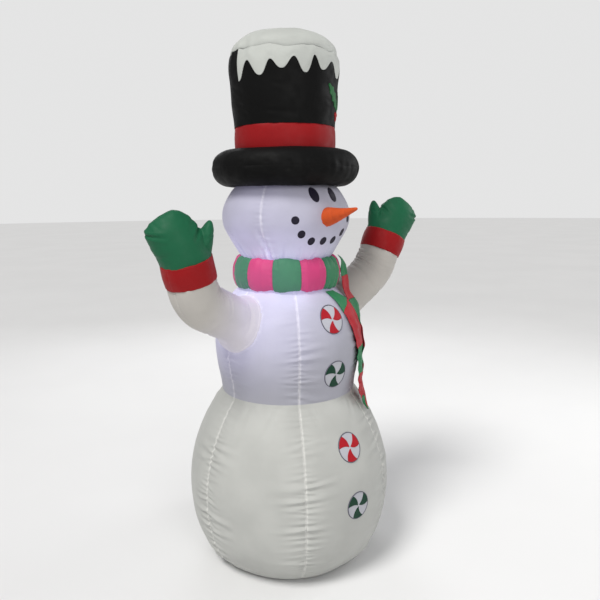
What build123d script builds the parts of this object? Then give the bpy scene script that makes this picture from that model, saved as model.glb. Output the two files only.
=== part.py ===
from build123d import *
from math import atan2, cos, degrees, pi, radians, sin, sqrt, tan
import os

# Inflatable yard snowman. Millimetres. Origin at the centre of the floor panel, +Z up, the face looks
# along -Y. Azimuths are measured from the front, positive towards +X. Profiles are (radius, height).

# ---- driving dimensions ----
CLOTH = 1.2                # thickness of the shell fabric
PATCH = 0.8                # thickness of a sewn-on patch

FLOOR_R = 245.0            # floor panel with its seam allowance
FOOT_R = 233.0             # where the base leaves the floor
SEAM_LAP = 8.0             # flat lap of the base on the floor panel
BASE_R = 362.0             # widest radius of the base ball
BASE_MID_Z = 280.0
BASE_DROP = 113.0          # radius lost over BASE_SPAN above the middle
BASE_SPAN = 325.0
WAIST_R = 237.0
WAIST_Z = 618.0
NECK_R = 125.0
NECK_Z = 1030.0
TORSO_LINE = [(WAIST_R, WAIST_Z), (242, 656), (251, 702), (257, 752), (257.5, 800), (250, 850),
              (233, 900), (200, 950), (172, 977), (140, 1000), (NECK_R, NECK_Z)]
HEAD_LINE = [(NECK_R, NECK_Z), (137, 1062), (157, 1088), (183, 1129), (207, 1170), (219, 1200),
             (221.5, 1226), (218, 1253), (199, 1294), (180, 1320), (164, 1334)]
COLLAR_LINE = [(134, 1031), (151, 1002), (172, 983), (186, 1006), (190, 1038), (184, 1066),
               (163, 1090), (146, 1064)]
COLLAR_PATCHES = 12
COLLAR_START = -113.5      # azimuth of the first patch boundary

BRIM_R = 193.0             # centre circle of the blown brim
BRIM_Z = 1386.0
BRIM_WIDE = 58.5
BRIM_HIGH = 60.0
BAND_R = 170.5
BAND_TOP_Z = 1520.0
CROWN_LINE = [(BAND_R, BAND_TOP_Z), (173.5, 1553), (178, 1592), (182, 1670), (185, 1708), (180, 1750)]
CROWN_TOP_Z = 1830.0
DRIP_TIPS = [(-92, 1662), (-63, 1664), (-41, 1681), (-17, 1670), (3, 1684), (32, 1671), (57, 1668),
             (92, 1664)]
DRIP_VALLEYS = [1712, 1708, 1716, 1723, 1716, 1712, 1710]

SHOULDER = (200.0, -20.0, 868.0)   # centre of the ball joint at the sleeve root, left side
SHOULDER_R = 100.0
SHOULDER_GAP = 1.0
SLEEVE_R = 76.0
CUFF_LENGTH = 72.0
ARM_RIGHT = {"side": -1, "reach": 231.6, "rise": 171.0, "yaw": 13.7,
             "low": 26.0, "high": 74.0, "bend": 105.0, "twist": -35.0}
ARM_LEFT = {"side": 1, "reach": 213.0, "rise": 214.0, "yaw": 12.0,
            "low": 38.0, "high": 66.0, "bend": 150.0, "twist": -8.0}

TAIL_CLOTH = 2.4
TAIL_LONG_AZ = 28.0
TAIL_LONG_LINE = [(182, 974), (208, 951), (239, 900), (256, 850), (263, 795), (264, 700),
                  (267.5, 630), (276, 590), (293, 545)]
TAIL_SHORT_AZ = 51.5
TAIL_SHORT_LINE = [(172, 1093), (190, 1078), (197.5, 1040), (201, 1000), (210, 955), (240, 900),
                   (257, 850), (264, 795), (264.5, 700), (264.5, 645)]

BUTTON_R = 46.0
BUTTON_HEIGHTS = [(891, "red"), (710, "green"), (475, "red"), (287, "green")]
NOSE_Z = 1228.0
NOSE_R = 29.0
NOSE_LENGTH = 132.0
NOSE_TILT = 11.0

BLOWER_Z = 110.0           # fan axis, parallel to Y
HOUSING_R = 80.0
HOUSING_WALL = 2.5
HOUSING_FRONT_Y = 300.0
HOUSING_SPLIT_Y = 362.0
HOUSING_BACK_Y = 420.0
SLEEVE_PORT_R = 81.8       # outside of the fabric port round the blower
SLEEVE_PORT_END_Y = 392.0
SHAFT_R = 2.0
SHAFT_GAP = 0.05
IMPELLER_R = 61.0
IMPELLER_BLADES = 7
BOSS_PCD = 142.0
SCREW_R = 1.75
JACK_BORE_R = 2.75
JACK_Y = 404.0

CABLE_R = 2.0
CABLE_ROUTE = [(0, 292, 193), (0, 292, 222), (-24, 299, 252), (-58, 301, 284), (-98, 297, 314),
               (-136, 286, 350), (-160, 283, 396), (-160, 277, 440), (-149, 259, 490), (-139, 241, 535),
               (-124, 216, 584), (-111, 193, 628), (-113, 197, 684), (-120, 208, 740), (-119, 204, 796),
               (-112, 172, 842), (-99, 124, 872), (-84, 78, 888), (-72, 36, 904)]
CABLE_UPPER = [(-64, 10, 934), (-58, -4, 970), (-55, -6, 1018), (-52, -3, 1064), (-50, 0, 1104)]
TAB_POINTS = [(-160, 280.5, 418), (-139, 241, 535), (-113, 197, 684), (-119, 206, 780)]

ZIP_Z = 500.0
ZIP_SINK = 7.0             # depth of the flat placket below the round of the base
ZIP_LENGTH = 130.0
ZIP_REST = 52.0            # where the closed slider stands, from the middle of the zip
ZIP_TAPE = 13.0
ZIP_TAPE_THICK = 0.8
ZIP_TOOTH = 1.9
ZIP_TOOTH_PITCH = 3.0
ZIP_PARTING = 0.7          # half of the gap between the two rows of teeth

STAKE_AZIMUTHS = [90, 150, 210]
STAKE_R = 270.0
GROMMET_R = 6.0


# ---- helpers ----
def spin(azimuth):
    """Turn a shape made at +X to an azimuth from the front."""
    return Rot(0, 0, azimuth - 90)


def place(radius, azimuth, z):
    a = radians(azimuth)
    return Vector(radius * sin(a), -radius * cos(a), z)


def inset(line, depth):
    """The line moved inwards by depth, with both ends cut level."""
    moved = []
    last = len(line) - 1
    for i, (r, z) in enumerate(line):
        before = line[max(i - 1, 0)]
        after = line[min(i + 1, last)]
        along = Vector(after[0] - before[0], 0, after[1] - before[1]).normalized()
        normal = Vector(-along.Z, 0, along.X)
        if i in (0, last):
            moved.append((r + depth / normal.X, z))
        else:
            moved.append((r + depth * normal.X, z + depth * normal.Z))
    return moved


def upright(line):
    return [(r, 0, z) for r, z in line]


def band_face(outer, inner):
    """Section between two lines that run the same way."""
    a, b = upright(outer), upright(inner)
    return make_face([Spline(*a), Line(a[-1], b[-1]), Spline(*b), Line(b[0], a[0])])


def filled_face(line):
    """Section from the axis out to a line that starts low and ends high."""
    a = upright(line)
    low, high = (0, 0, line[0][1]), (0, 0, line[-1][1])
    return make_face([Spline(*a), Line(a[-1], high), Line(high, low), Line(low, a[0])])


def sectors(face, count, start):
    """A section revolved as separate equal pieces, counted from a start azimuth."""
    step = 360.0 / count
    piece = revolve(face, Axis.Z, step)
    return [spin(start + i * step) * piece for i in range(count)]


def group(pieces):
    return Compound(children=list(pieces))


def solids_of(shapes):
    found = []
    for shape in shapes:
        found += shape.solids()
    return found


def save(name, shape):
    pieces = shape if isinstance(shape, list) else [shape]
    export_step(group(solids_of(pieces)), "parts/" + name + ".step")


def tangent_plane(radius, azimuth, z, rise=0.0):
    """A plane on the surface: X runs to the object's left, Y up and Z outwards, tilted up by rise."""
    a, t = radians(azimuth), radians(rise)
    out = Vector(sin(a) * cos(t), -cos(a) * cos(t), sin(t))
    return Plane(origin=place(radius, azimuth, z), x_dir=Vector(cos(a), sin(a), 0), z_dir=out)


def base_radius(z):
    return BASE_R - BASE_DROP * ((z - BASE_MID_Z) / BASE_SPAN) ** 2


def oval_arc(center, wide, high, start, size):
    """Arc of an ellipse in the section plane, from a start angle through a size in degrees."""
    return Plane.XZ * EllipticalCenterArc(center, wide, high, start_angle=start, arc_size=size)


def base_lines(depth):
    """Lower and upper parts of the base, moved inwards by depth."""
    low_wide = BASE_R - FOOT_R - depth
    low_high = BASE_MID_Z - CLOTH - depth
    lower = oval_arc((FOOT_R, BASE_MID_Z), low_wide, low_high, -90, 90)
    count = 6
    heights = [BASE_MID_Z + (WAIST_Z - BASE_MID_Z) * i / count for i in range(count + 1)]
    line = [(base_radius(z), z) for z in heights[:-1]] + [(WAIST_R, WAIST_Z)]
    upper = inset(line, depth) if depth else line
    upper[0] = (BASE_R - depth, BASE_MID_Z)
    return lower, Spline(*upright(upper), tangents=[(0, 0, 1), (-0.72, 0, 1)]), upper[-1]


# ---- body ----
def base_gore_face():
    outer_low, outer_up, outer_end = base_lines(0)
    inner_low, inner_up, inner_end = base_lines(CLOTH)
    lap = FOOT_R - SEAM_LAP
    return make_face([
        Line((lap, 0, CLOTH), (FOOT_R, 0, CLOTH)), outer_low, outer_up,
        Line((outer_end[0], 0, WAIST_Z), (inner_end[0], 0, WAIST_Z)),
        inner_up, inner_low,
        Line((FOOT_R, 0, 2 * CLOTH), (lap, 0, 2 * CLOTH)),
        Line((lap, 0, 2 * CLOTH), (lap, 0, CLOTH)),
    ])


def base_volume(depth=0.0):
    low, up, end = base_lines(depth)
    bottom = CLOTH + depth
    return revolve(make_face([
        Line((0, 0, bottom), (FOOT_R, 0, bottom)), low, up,
        Line((end[0], 0, WAIST_Z), (0, 0, WAIST_Z)), Line((0, 0, WAIST_Z), (0, 0, bottom)),
    ]), Axis.Z, 360)


def blower_cylinder(radius, start_y, end_y):
    body = Cylinder(radius, end_y - start_y, align=(Align.CENTER, Align.CENTER, Align.MIN))
    return Pos(0, start_y, BLOWER_Z) * Rot(-90, 0, 0) * body


def zip_plane(lift=0.0):
    """Plane of the flat placket at the back: X runs up along the zip and Z points outwards."""
    slope = atan2(2 * BASE_DROP * (ZIP_Z - BASE_MID_Z), BASE_SPAN ** 2)
    out = Vector(0, cos(slope), sin(slope))
    start = Vector(0, base_radius(ZIP_Z), ZIP_Z) + out * (lift - ZIP_SINK)
    return Plane(origin=start, x_dir=Vector(0, -sin(slope), cos(slope)), z_dir=out)


def make_base():
    gores = sectors(base_gore_face(), 6, start=-30)
    port = blower_cylinder(SLEEVE_PORT_R - CLOTH, 200, 500)
    facet = zip_plane() * Box(400, 400, 60, align=(Align.CENTER, Align.CENTER, Align.MIN))
    gores[3] = gores[3] - port - facet
    return gores


def make_placket():
    slab = Box(400, 400, CLOTH, align=(Align.CENTER, Align.CENTER, Align.MAX))
    slot = Box(ZIP_LENGTH + 8, 12, 10)
    inside = base_volume(CLOTH)
    return (zip_plane() * slab & inside) - zip_plane() * slot


def shoulder_center(arm):
    return Vector(arm["side"] * SHOULDER[0], SHOULDER[1], SHOULDER[2])


def make_torso():
    face = band_face(TORSO_LINE, inset(TORSO_LINE, CLOTH))
    gores = sectors(face, 6, start=-30)
    clear = SHOULDER_R + SHOULDER_GAP
    holes = [Location(shoulder_center(arm)) * Sphere(clear) for arm in (ARM_RIGHT, ARM_LEFT)]
    return [gore - holes[0] - holes[1] for gore in gores]


def head_volume():
    return revolve(filled_face(HEAD_LINE), Axis.Z, 360)


def make_head():
    return sectors(band_face(HEAD_LINE, inset(HEAD_LINE, CLOTH)), 3, start=-60)


# ---- hat ----
def brim_face(from_angle, to_angle):
    center, size = (BRIM_R, BRIM_Z), to_angle - from_angle
    a = oval_arc(center, BRIM_WIDE, BRIM_HIGH, from_angle, size)
    b = oval_arc(center, BRIM_WIDE - CLOTH, BRIM_HIGH - CLOTH, from_angle, size)
    return make_face([a, b, Line(a @ 0, b @ 0), Line(a @ 1, b @ 1)])


def make_brim_lower():
    return revolve(brim_face(-118.5, 0), Axis.Z, 360)


def make_brim_upper():
    return revolve(brim_face(0, 112.0), Axis.Z, 360)


def make_band():
    low = BRIM_Z + 55.9
    face = Plane.XZ * Pos(BAND_R - CLOTH / 2, (low + BAND_TOP_Z) / 2) * Rectangle(CLOTH, BAND_TOP_Z - low)
    return revolve(face, Axis.Z, 360)


def make_crown():
    return revolve(band_face(CROWN_LINE, inset(CROWN_LINE, CLOTH)), Axis.Z, 360)


def make_crown_top():
    edge, low = CROWN_LINE[-1]
    high = CROWN_TOP_Z - low
    outer = upright(dome_line(edge, low, high))
    inner = upright(dome_line(edge - CLOTH, low, high - CLOTH))
    face = make_face([
        Spline(*outer, tangents=[(0, 0, 1), (-1, 0, 0)]), Line(outer[-1], inner[-1]),
        Spline(*inner, tangents=[(0, 0, 1), (-1, 0, 0)]), Line(inner[0], outer[0]),
    ])
    return revolve(face, Axis.Z, 360)


def dome_line(edge, low, high):
    """A quarter of an oval from the rim up to the axis."""
    angles = [radians(15 * i) for i in range(6)]
    return [(edge * cos(a), low + high * sin(a)) for a in angles] + [(0, low + high)]


def patch_band(line, low, high):
    """Section of a patch of cloth lying on the outside of a line between two levels of lift."""
    return band_face(inset(line, -high), inset(line, -low))


def drip_gap(i):
    """The arch of bare crown between two neighbouring drips."""
    (a0, z0), (a1, z1) = DRIP_TIPS[i], DRIP_TIPS[i + 1]
    half = 184 * sin(radians((a1 - a0) / 2)) - 1.5
    peak = DRIP_VALLEYS[i]
    arch = make_face([
        Line((-half, z0), (-0.45 * half, peak - 14)), ThreePointArc((-0.45 * half, peak - 14), (0, peak),
                                                                    (0.45 * half, peak - 14)),
        Line((0.45 * half, peak - 14), (half, z1)), Line((half, z1), (half, 1600)),
        Line((half, 1600), (-half, 1600)), Line((-half, 1600), (-half, z0)),
    ])
    return extrude(tangent_plane(120, (a0 + a1) / 2, 0) * arch, 120)


def make_drips():
    first, last = DRIP_TIPS[0][0], DRIP_TIPS[-1][0]
    ring = spin(first) * revolve(patch_band(CROWN_LINE, 0.4, 0.4 + PATCH), Axis.Z, last - first)
    above_tips = Cylinder(300, 200, align=(Align.CENTER, Align.CENTER, Align.MIN))
    ring = ring & Pos(0, 0, DRIP_TIPS[0][1]) * above_tips
    for i in range(len(DRIP_VALLEYS)):
        ring = ring - drip_gap(i)
    return ring


def leaf_face(start, end, width):
    """A pointed leaf between two points of a plane."""
    a, b = Vector(*start), Vector(*end)
    side = Vector(-(b - a).Y, (b - a).X).normalized() * (width / 2)
    middle = (a + b) * 0.5
    return make_face([ThreePointArc(a, middle + side, b), ThreePointArc(b, middle - side, a)])


def crown_patch(low, high):
    return spin(0) * revolve(patch_band(CROWN_LINE, low, high), Axis.Z, 80)


def make_holly_leaves():
    cloth = crown_patch(0.4, 0.4 + PATCH)
    plane = tangent_plane(120, 39, 0)
    leaves = [leaf_face((-76, 1648), (-3, 1574), 36), leaf_face((76, 1646), (3, 1574), 36)]
    return [cloth & extrude(plane * leaf, 100) for leaf in leaves]


def make_holly_berries():
    cloth = crown_patch(0.4, 2.4)
    plane = tangent_plane(120, 39, 0)
    spots = [(-9, 1559), (9, 1559), (0, 1546)]
    return [cloth & extrude(plane * Pos(u, z) * Circle(8.4), 100) for u, z in spots]


# ---- face ----
def head_patch(low, high):
    return spin(-45) * revolve(patch_band(HEAD_LINE[3:-1], low, high), Axis.Z, 90)


def make_eyes():
    cloth = head_patch(0.4, 0.4 + PATCH)
    spots = [tangent_plane(120, a, 1299) * Ellipse(15, 22.5) for a in (-11.5, 11.5)]
    return [cloth & extrude(spot, 140) for spot in spots]


def make_mouth():
    cloth = head_patch(0.4, 0.4 + PATCH)
    spots = [(-31, 1217), (-25, 1172), (-14, 1148), (0, 1147), (14, 1148), (25, 1172), (31, 1217)]
    return [cloth & extrude(tangent_plane(120, a, z) * Circle(13), 140) for a, z in spots]


def make_nose():
    plane = tangent_plane(205, 0, NOSE_Z - 3, NOSE_TILT)
    base = plane * Circle(NOSE_R + 2)
    middle = plane * Pos(0, 0, NOSE_LENGTH * 0.6) * Circle(NOSE_R * 0.52)
    tip = plane * Pos(0, 0, NOSE_LENGTH + 14) * Circle(4.5)
    return loft([base, middle, tip]) - head_volume()


# ---- scarf ----
def make_collar():
    count = len(COLLAR_LINE)
    wrapped = [COLLAR_LINE[-1]] + COLLAR_LINE + [COLLAR_LINE[0]]
    outer = Spline(*upright(COLLAR_LINE), periodic=True)
    inner = Spline(*upright(inset(wrapped, CLOTH)[1:count + 1]), periodic=True)
    step = 360 / COLLAR_PATCHES
    hollow = revolve(make_face(inner), Axis.Z, step)
    patch = revolve(make_face(outer), Axis.Z, step) - hollow
    patches = [spin(COLLAR_START + i * step) * patch for i in range(COLLAR_PATCHES)]
    return patches[0::2], patches[1::2]


def stripe(plane, cloth, corners):
    face = make_face(Polyline(*corners, close=True))
    return cloth & extrude(plane * face, 200)


def make_tail_long():
    line = list(reversed(TAIL_LONG_LINE))
    cloth = spin(-20) * revolve(band_face(line, inset(line, TAIL_CLOTH)), Axis.Z, 90)
    plane = tangent_plane(120, TAIL_LONG_AZ, 0)
    cuts = [((-86, 980), (-26, 980)), ((-66, 903), (16, 943)), ((-14, 775), (70, 775)),
            ((-13, 680), (70, 680)), ((-13, 600), (70, 600))]
    stripes = [stripe(plane, cloth, [*cuts[i], *reversed(cuts[i + 1])]) for i in range(4)]
    tip = [stripe(plane, cloth, [(-13, 600), (29, 600), (29, 549)]),
           stripe(plane, cloth, [(29, 600), (70, 600), (29, 549)])]
    return [stripes[0], stripes[2], tip[0]], [stripes[1], stripes[3], tip[1]]


def make_tail_short():
    line = list(reversed(TAIL_SHORT_LINE))
    cloth = spin(25) * revolve(band_face(line, inset(line, TAIL_CLOTH)), Axis.Z, 60)
    plane = tangent_plane(120, TAIL_SHORT_AZ, 0)
    cuts = [((-28, 1095), (28, 1095)), ((-30, 1015), (30, 1015)), ((-32, 930), (32, 930)),
            ((-33, 845), (33, 845)), ((-34, 760), (34, 760)), ((-34, 700), (34, 700))]
    stripes = [stripe(plane, cloth, [*cuts[i], *reversed(cuts[i + 1])]) for i in range(5)]
    tip = stripe(plane, cloth, [(-34, 700), (34, 700), (0, 648)])
    return stripes[0::2], stripes[1::2] + [tip]


# ---- buttons ----
def button_line(z):
    if z > WAIST_Z:
        return TORSO_LINE[:8]
    heights = [200 + 60 * i for i in range(7)]
    low = BASE_MID_Z - CLOTH
    radii = [FOOT_R + (BASE_R - FOOT_R) * sqrt(1 - ((BASE_MID_Z - h) / low) ** 2) if h < BASE_MID_Z
             else base_radius(h) for h in heights]
    return list(zip(radii, heights))


def button_cloth(z, low, high):
    return spin(-15) * revolve(patch_band(button_line(z), low, high), Axis.Z, 30)


def vane_face(turn):
    """One curved vane of a peppermint swirl."""
    rim = BUTTON_R - 3
    a = Vector(rim, 0).rotate(Axis.Z, turn)
    b = Vector(rim, 0).rotate(Axis.Z, turn + 56)
    hub = Vector(3, 0).rotate(Axis.Z, turn + 40)
    rim_mid = Vector(rim, 0).rotate(Axis.Z, turn + 28)
    left_mid = Vector(rim * 0.55, 0).rotate(Axis.Z, turn - 12)
    right_mid = Vector(rim * 0.55, 0).rotate(Axis.Z, turn + 44)
    return make_face([ThreePointArc(a, rim_mid, b), ThreePointArc(b, right_mid, hub),
                      ThreePointArc(hub, left_mid, a)])


def make_buttons():
    patches, rings, red, green = [], [], [], []
    for z, colour in BUTTON_HEIGHTS:
        plane = tangent_plane(150, 0, z)
        lift = 0.4 if z > WAIST_Z else 0.6
        under = button_cloth(z, lift, lift + PATCH)
        over = button_cloth(z, lift + PATCH, lift + 2 * PATCH)
        patches.append(under & extrude(plane * Circle(BUTTON_R), 260))
        outline = Circle(BUTTON_R) - Circle(BUTTON_R - 2)
        rings.append(over & extrude(plane * outline, 260))
        vanes = [over & extrude(plane * vane_face(120 * i), 260) for i in range(3)]
        (red if colour == "red" else green).extend(vanes)
    return patches, rings, red, green


# ---- arms ----
def arm_runs(arm):
    """Lengths of the straight runs before and after the elbow's arc."""
    low, high = radians(arm["low"]), radians(arm["high"])
    across = arm["reach"] - arm["bend"] * (sin(high) - sin(low))
    up = arm["rise"] - arm["bend"] * (cos(low) - cos(high))
    scale = cos(low) * sin(high) - sin(low) * cos(high)
    first = (across * sin(high) - up * cos(high)) / scale
    last = (up * cos(low) - across * sin(low)) / scale
    return first, last


def arm_plane(arm):
    """Upright plane of the arm: X outwards from the shoulder, Y up."""
    yaw = radians(arm["yaw"])
    out = Vector(arm["side"] * cos(yaw), -sin(yaw), 0)
    return Plane(origin=shoulder_center(arm), x_dir=out, z_dir=out.cross(Vector(0, 0, 1)))


def arm_solid(arm, radius, ball):
    """Ball at the shoulder and the bent tube up to the wrist, as one closed volume."""
    first, last = arm_runs(arm)
    low, high, bend = arm["low"], arm["high"], arm["bend"]
    tube = Rot(0, 90, 0) * Cylinder(radius, first, align=(Align.CENTER, Align.CENTER, Align.MIN))
    elbow = Plane.YZ * Circle(radius)
    bend_axis = Axis((0, bend, 0), (0, 0, 1))
    turned = revolve(elbow, bend_axis, high - low)
    end = Vector(bend * sin(radians(high - low)), bend * (1 - cos(radians(high - low))), 0)
    upper = Location(end) * Rot(0, 0, high - low) * Rot(0, 90, 0) * Cylinder(
        radius, last, align=(Align.CENTER, Align.CENTER, Align.MIN))
    limb = Sphere(ball) + tube + Pos(first, 0, 0) * turned + Pos(first, 0, 0) * upper
    return arm_plane(arm).location * Rot(0, 0, low) * limb


def wrist_plane(arm):
    """Plane across the arm at the bottom of the cuff: Z along the hand, X towards the head."""
    plane = arm_plane(arm)
    high = radians(arm["high"])
    along = plane.x_dir * cos(high) + Vector(0, 0, 1) * sin(high)
    start = plane.origin + plane.x_dir * arm["reach"] + Vector(0, 0, 1) * arm["rise"]
    return Plane(origin=start, x_dir=Vector(0, 0, 1) * cos(high) - plane.x_dir * sin(high), z_dir=along)


def make_sleeve(arm):
    hollow = arm_solid(arm, SLEEVE_R - CLOTH, SHOULDER_R - CLOTH)
    skin = arm_solid(arm, SLEEVE_R, SHOULDER_R) - hollow
    center = shoulder_center(arm)
    keep = Pos(center.X + arm["side"] * 150, center.Y, center.Z) * Box(400, 400, 700)
    return skin & keep


def make_cuff(arm):
    ring = Circle(SLEEVE_R + 2) - Circle(SLEEVE_R + 2 - CLOTH)
    lip = Circle(SLEEVE_R + 2 - CLOTH) - Circle(SLEEVE_R - CLOTH)
    wrist = wrist_plane(arm)
    return extrude(wrist * ring, CUFF_LENGTH) + extrude(wrist * lip, CLOTH)


def mitten_volume(arm, shrink):
    palm = scale(Sphere(1), by=(84 - shrink, 57 - shrink, 80 - shrink))
    thumb = scale(Sphere(1), by=(29 - shrink, 34 - shrink, 52 - shrink))
    return Pos(-10, 0, 72 + CUFF_LENGTH) * palm + Pos(58, 0, 42 + CUFF_LENGTH) * Rot(0, 42, 0) * thumb


def make_mitten(arm):
    hand = mitten_volume(arm, 0) - mitten_volume(arm, CLOTH)
    keep = Pos(0, 0, CUFF_LENGTH) * Box(400, 400, 400, align=(Align.CENTER, Align.CENTER, Align.MIN))
    return wrist_plane(arm).location * Rot(0, 0, arm["twist"]) * (hand & keep)


# ---- blower ----
def make_port_sleeve():
    tube = blower_cylinder(SLEEVE_PORT_R, 200, SLEEVE_PORT_END_Y)
    tube = tube - blower_cylinder(SLEEVE_PORT_R - CLOTH, 190, 500)
    return tube - base_volume()


def blower_plane(y):
    return Plane(origin=(0, y, BLOWER_Z), x_dir=(1, 0, 0), z_dir=(0, 1, 0))


def blower_ring(outer, inner, y, length):
    return extrude(blower_plane(y) * (Circle(outer) - Circle(inner)), length)


def make_port_strap():
    return blower_ring(SLEEVE_PORT_R + 2, SLEEVE_PORT_R + 0.4, 372, 18)


def make_strap_buckle():
    top = BLOWER_Z + SLEEVE_PORT_R + 2.3
    frame = Box(34, 24, 4) - Pos(-8, 0, 0) * Box(7, 19, 8) - Pos(8, 0, 0) * Box(7, 19, 8)
    return Pos(0, 381, top + 2) * frame


def bosses(start_y, length, hole_r):
    plane = blower_plane(start_y)
    posts = [plane * Pos(x, y) * (Circle(4.6) - Circle(hole_r)) for x, y in boss_points()]
    return [extrude(post, length) for post in posts]


def boss_points():
    r = BOSS_PCD / 2
    return [(r * cos(radians(45 + 90 * i)), r * sin(radians(45 + 90 * i))) for i in range(4)]


def make_housing_front():
    length = HOUSING_SPLIT_Y - HOUSING_FRONT_Y
    shell = blower_ring(HOUSING_R, HOUSING_R - HOUSING_WALL, HOUSING_FRONT_Y, length)
    for boss in bosses(HOUSING_SPLIT_Y - 24, 24, SCREW_R):
        shell = shell + boss
    return shell


def make_housing_rear():
    length = HOUSING_BACK_Y - HOUSING_SPLIT_Y
    shell = blower_ring(HOUSING_R, HOUSING_R - HOUSING_WALL, HOUSING_SPLIT_Y, length)
    start = SLEEVE_PORT_END_Y + 3
    shell = shell + blower_ring(HOUSING_R + 5, HOUSING_R, start, HOUSING_BACK_Y - start)
    for boss in bosses(HOUSING_SPLIT_Y, 10, SCREW_R + 0.15):
        shell = shell + boss
    jack = Pos(HOUSING_R - HOUSING_WALL, JACK_Y, BLOWER_Z) * Rot(0, 90, 0) * Cylinder(
        5.6, 20, align=(Align.CENTER, Align.CENTER, Align.CENTER))
    return shell - jack


def make_guard(y, thick, ring_radii):
    guard = blower_ring(HOUSING_R - HOUSING_WALL, HOUSING_R - HOUSING_WALL - 3, y, thick)
    for radius in ring_radii:
        guard = guard + blower_ring(radius + 1, radius - 1, y, thick)
    hub = blower_ring(12, 1, y, thick)
    guard = guard + hub
    for i in range(8):
        bar = Box(64, 2, thick, align=(Align.MIN, Align.CENTER, Align.MIN))
        guard = guard + blower_plane(y).location * Rot(0, 0, 22.5 + 45 * i) * Pos(11.5, 0, 0) * bar
    return guard


def make_motor():
    can = blower_cylinder(18.0, 330, 360)
    nose = blower_cylinder(6.0, 360, 363)
    return can + nose - blower_cylinder(SHAFT_R + SHAFT_GAP, 320, 380)


def make_motor_mount():
    mount = blower_ring(20.0, 18.0, 336, 8)
    for i in range(3):
        arm = Box(59.5, 5, 8, align=(Align.MIN, Align.CENTER, Align.MIN))
        mount = mount + blower_plane(336).location * Rot(0, 0, 90 + 120 * i) * Pos(19.0, 0, 0) * arm
    keep = blower_cylinder(HOUSING_R - HOUSING_WALL, 300, 400)
    return mount & keep


def make_shaft():
    return blower_cylinder(SHAFT_R, 333, 391)


def make_impeller():
    hub = blower_cylinder(20.0, 370, 392) - blower_cylinder(17.5, 360, 389)
    hub = hub + blower_cylinder(5.0, 372, 392) - blower_cylinder(SHAFT_R, 360, 391)
    for i in range(IMPELLER_BLADES):
        blade = Box(IMPELLER_R - 19.0, 2.0, 26, align=(Align.MIN, Align.CENTER, Align.CENTER))
        turned = Rot(0, 0, 360 / IMPELLER_BLADES * i) * Pos(19.0, 0, 0) * Rot(38, 0, 0) * blade
        hub = hub + blower_plane(381).location * turned
    return hub & blower_cylinder(IMPELLER_R, 360, 402)


def make_screws():
    screws = []
    for x, y in boss_points():
        shank = extrude(blower_plane(HOUSING_SPLIT_Y - 18) * Pos(x, y) * Circle(SCREW_R - 0.05), 28)
        head = extrude(blower_plane(HOUSING_SPLIT_Y + 10) * Pos(x, y) * Circle(3.4), 2.4)
        screws.append(shank + head)
    return screws


def make_blower_feet():
    feet = []
    for side in (-1, 1):
        low = blower_cylinder(HOUSING_R + 5, 398, 418)
        block = Pos(side * 42, 408, 0) * Box(22, 18, 70, align=(Align.CENTER, Align.CENTER, Align.MIN))
        pad = Pos(side * 42, 408, 0) * Box(34, 20, 5, align=(Align.CENTER, Align.CENTER, Align.MIN))
        feet.append(block + pad - low)
    return feet


def make_jack():
    body = Pos(HOUSING_R - 8, JACK_Y, BLOWER_Z) * Rot(0, 90, 0) * Cylinder(
        5.5, 14, align=(Align.CENTER, Align.CENTER, Align.MIN))
    flange = Pos(HOUSING_R + 5, JACK_Y, BLOWER_Z) * Rot(0, 90, 0) * Cylinder(
        8.0, 2, align=(Align.CENTER, Align.CENTER, Align.MIN))
    bore = Pos(HOUSING_R - 3, JACK_Y, BLOWER_Z) * Rot(0, 90, 0) * Cylinder(
        JACK_BORE_R, 10.0, align=(Align.CENTER, Align.CENTER, Align.MIN))
    return body + flange - bore


def make_lead_socket():
    block = Pos(0, HOUSING_FRONT_Y - 8, 184) * Box(15, 16, 18)
    return block


# ---- lamps ----
def tube(route, radius):
    """A round lead along straight runs joined by tangent arcs, as large as the runs allow."""
    points = [Vector(*p) for p in route]
    radii = []
    for before, corner, after in zip(points, points[1:], points[2:]):
        turn = (corner - before).get_angle(after - corner)
        shorter = min((corner - before).length, (after - corner).length)
        radii.append(0.45 * shorter / tan(radians(turn / 2)))
    path = FilletPolyline(*points, radius=radii)
    section = Plane(origin=path @ 0, z_dir=path % 0) * Circle(radius)
    lead = sweep(section, path=path)
    print("lead", round(path.length), "mm, smallest arc", round(min(radii)), "mm, largest turn",
          round(max((b - a).get_angle(c - b) for a, b, c in zip(points, points[1:], points[2:]))),
          "deg, volume / (section x length)", round(lead.volume / (pi * radius ** 2 * path.length), 4))
    return lead


def lamp_plane(center, aim):
    return Plane(origin=center, z_dir=aim)


def make_lamps(leads):
    sockets, bulbs = [], []
    low_aim = Vector(*CABLE_UPPER[0]) - Vector(*CABLE_ROUTE[-1])
    high_aim = Vector(*CABLE_UPPER[-1]) - Vector(*CABLE_UPPER[-2])
    low_length = low_aim.length
    low = lamp_plane(CABLE_ROUTE[-1], low_aim)
    sockets.append(extrude(low * Circle(9), low_length))
    side = low.location * Pos(0, 0, low_length / 2)
    bulb = Cylinder(6.5, 26, align=(Align.CENTER, Align.CENTER, Align.MIN)) + Pos(0, 0, 26) * Sphere(6.5)
    bulbs.append(side * Rot(0, -90, 0) * bulb - sockets[0])
    high = lamp_plane(CABLE_UPPER[-1], high_aim)
    sockets.append(extrude(high * Circle(9), 24))
    bulbs.append(high.location * Pos(0, 0, 24) * bulb)
    for lead in leads:
        sockets = [socket - lead for socket in sockets]
    return sockets, bulbs


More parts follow.
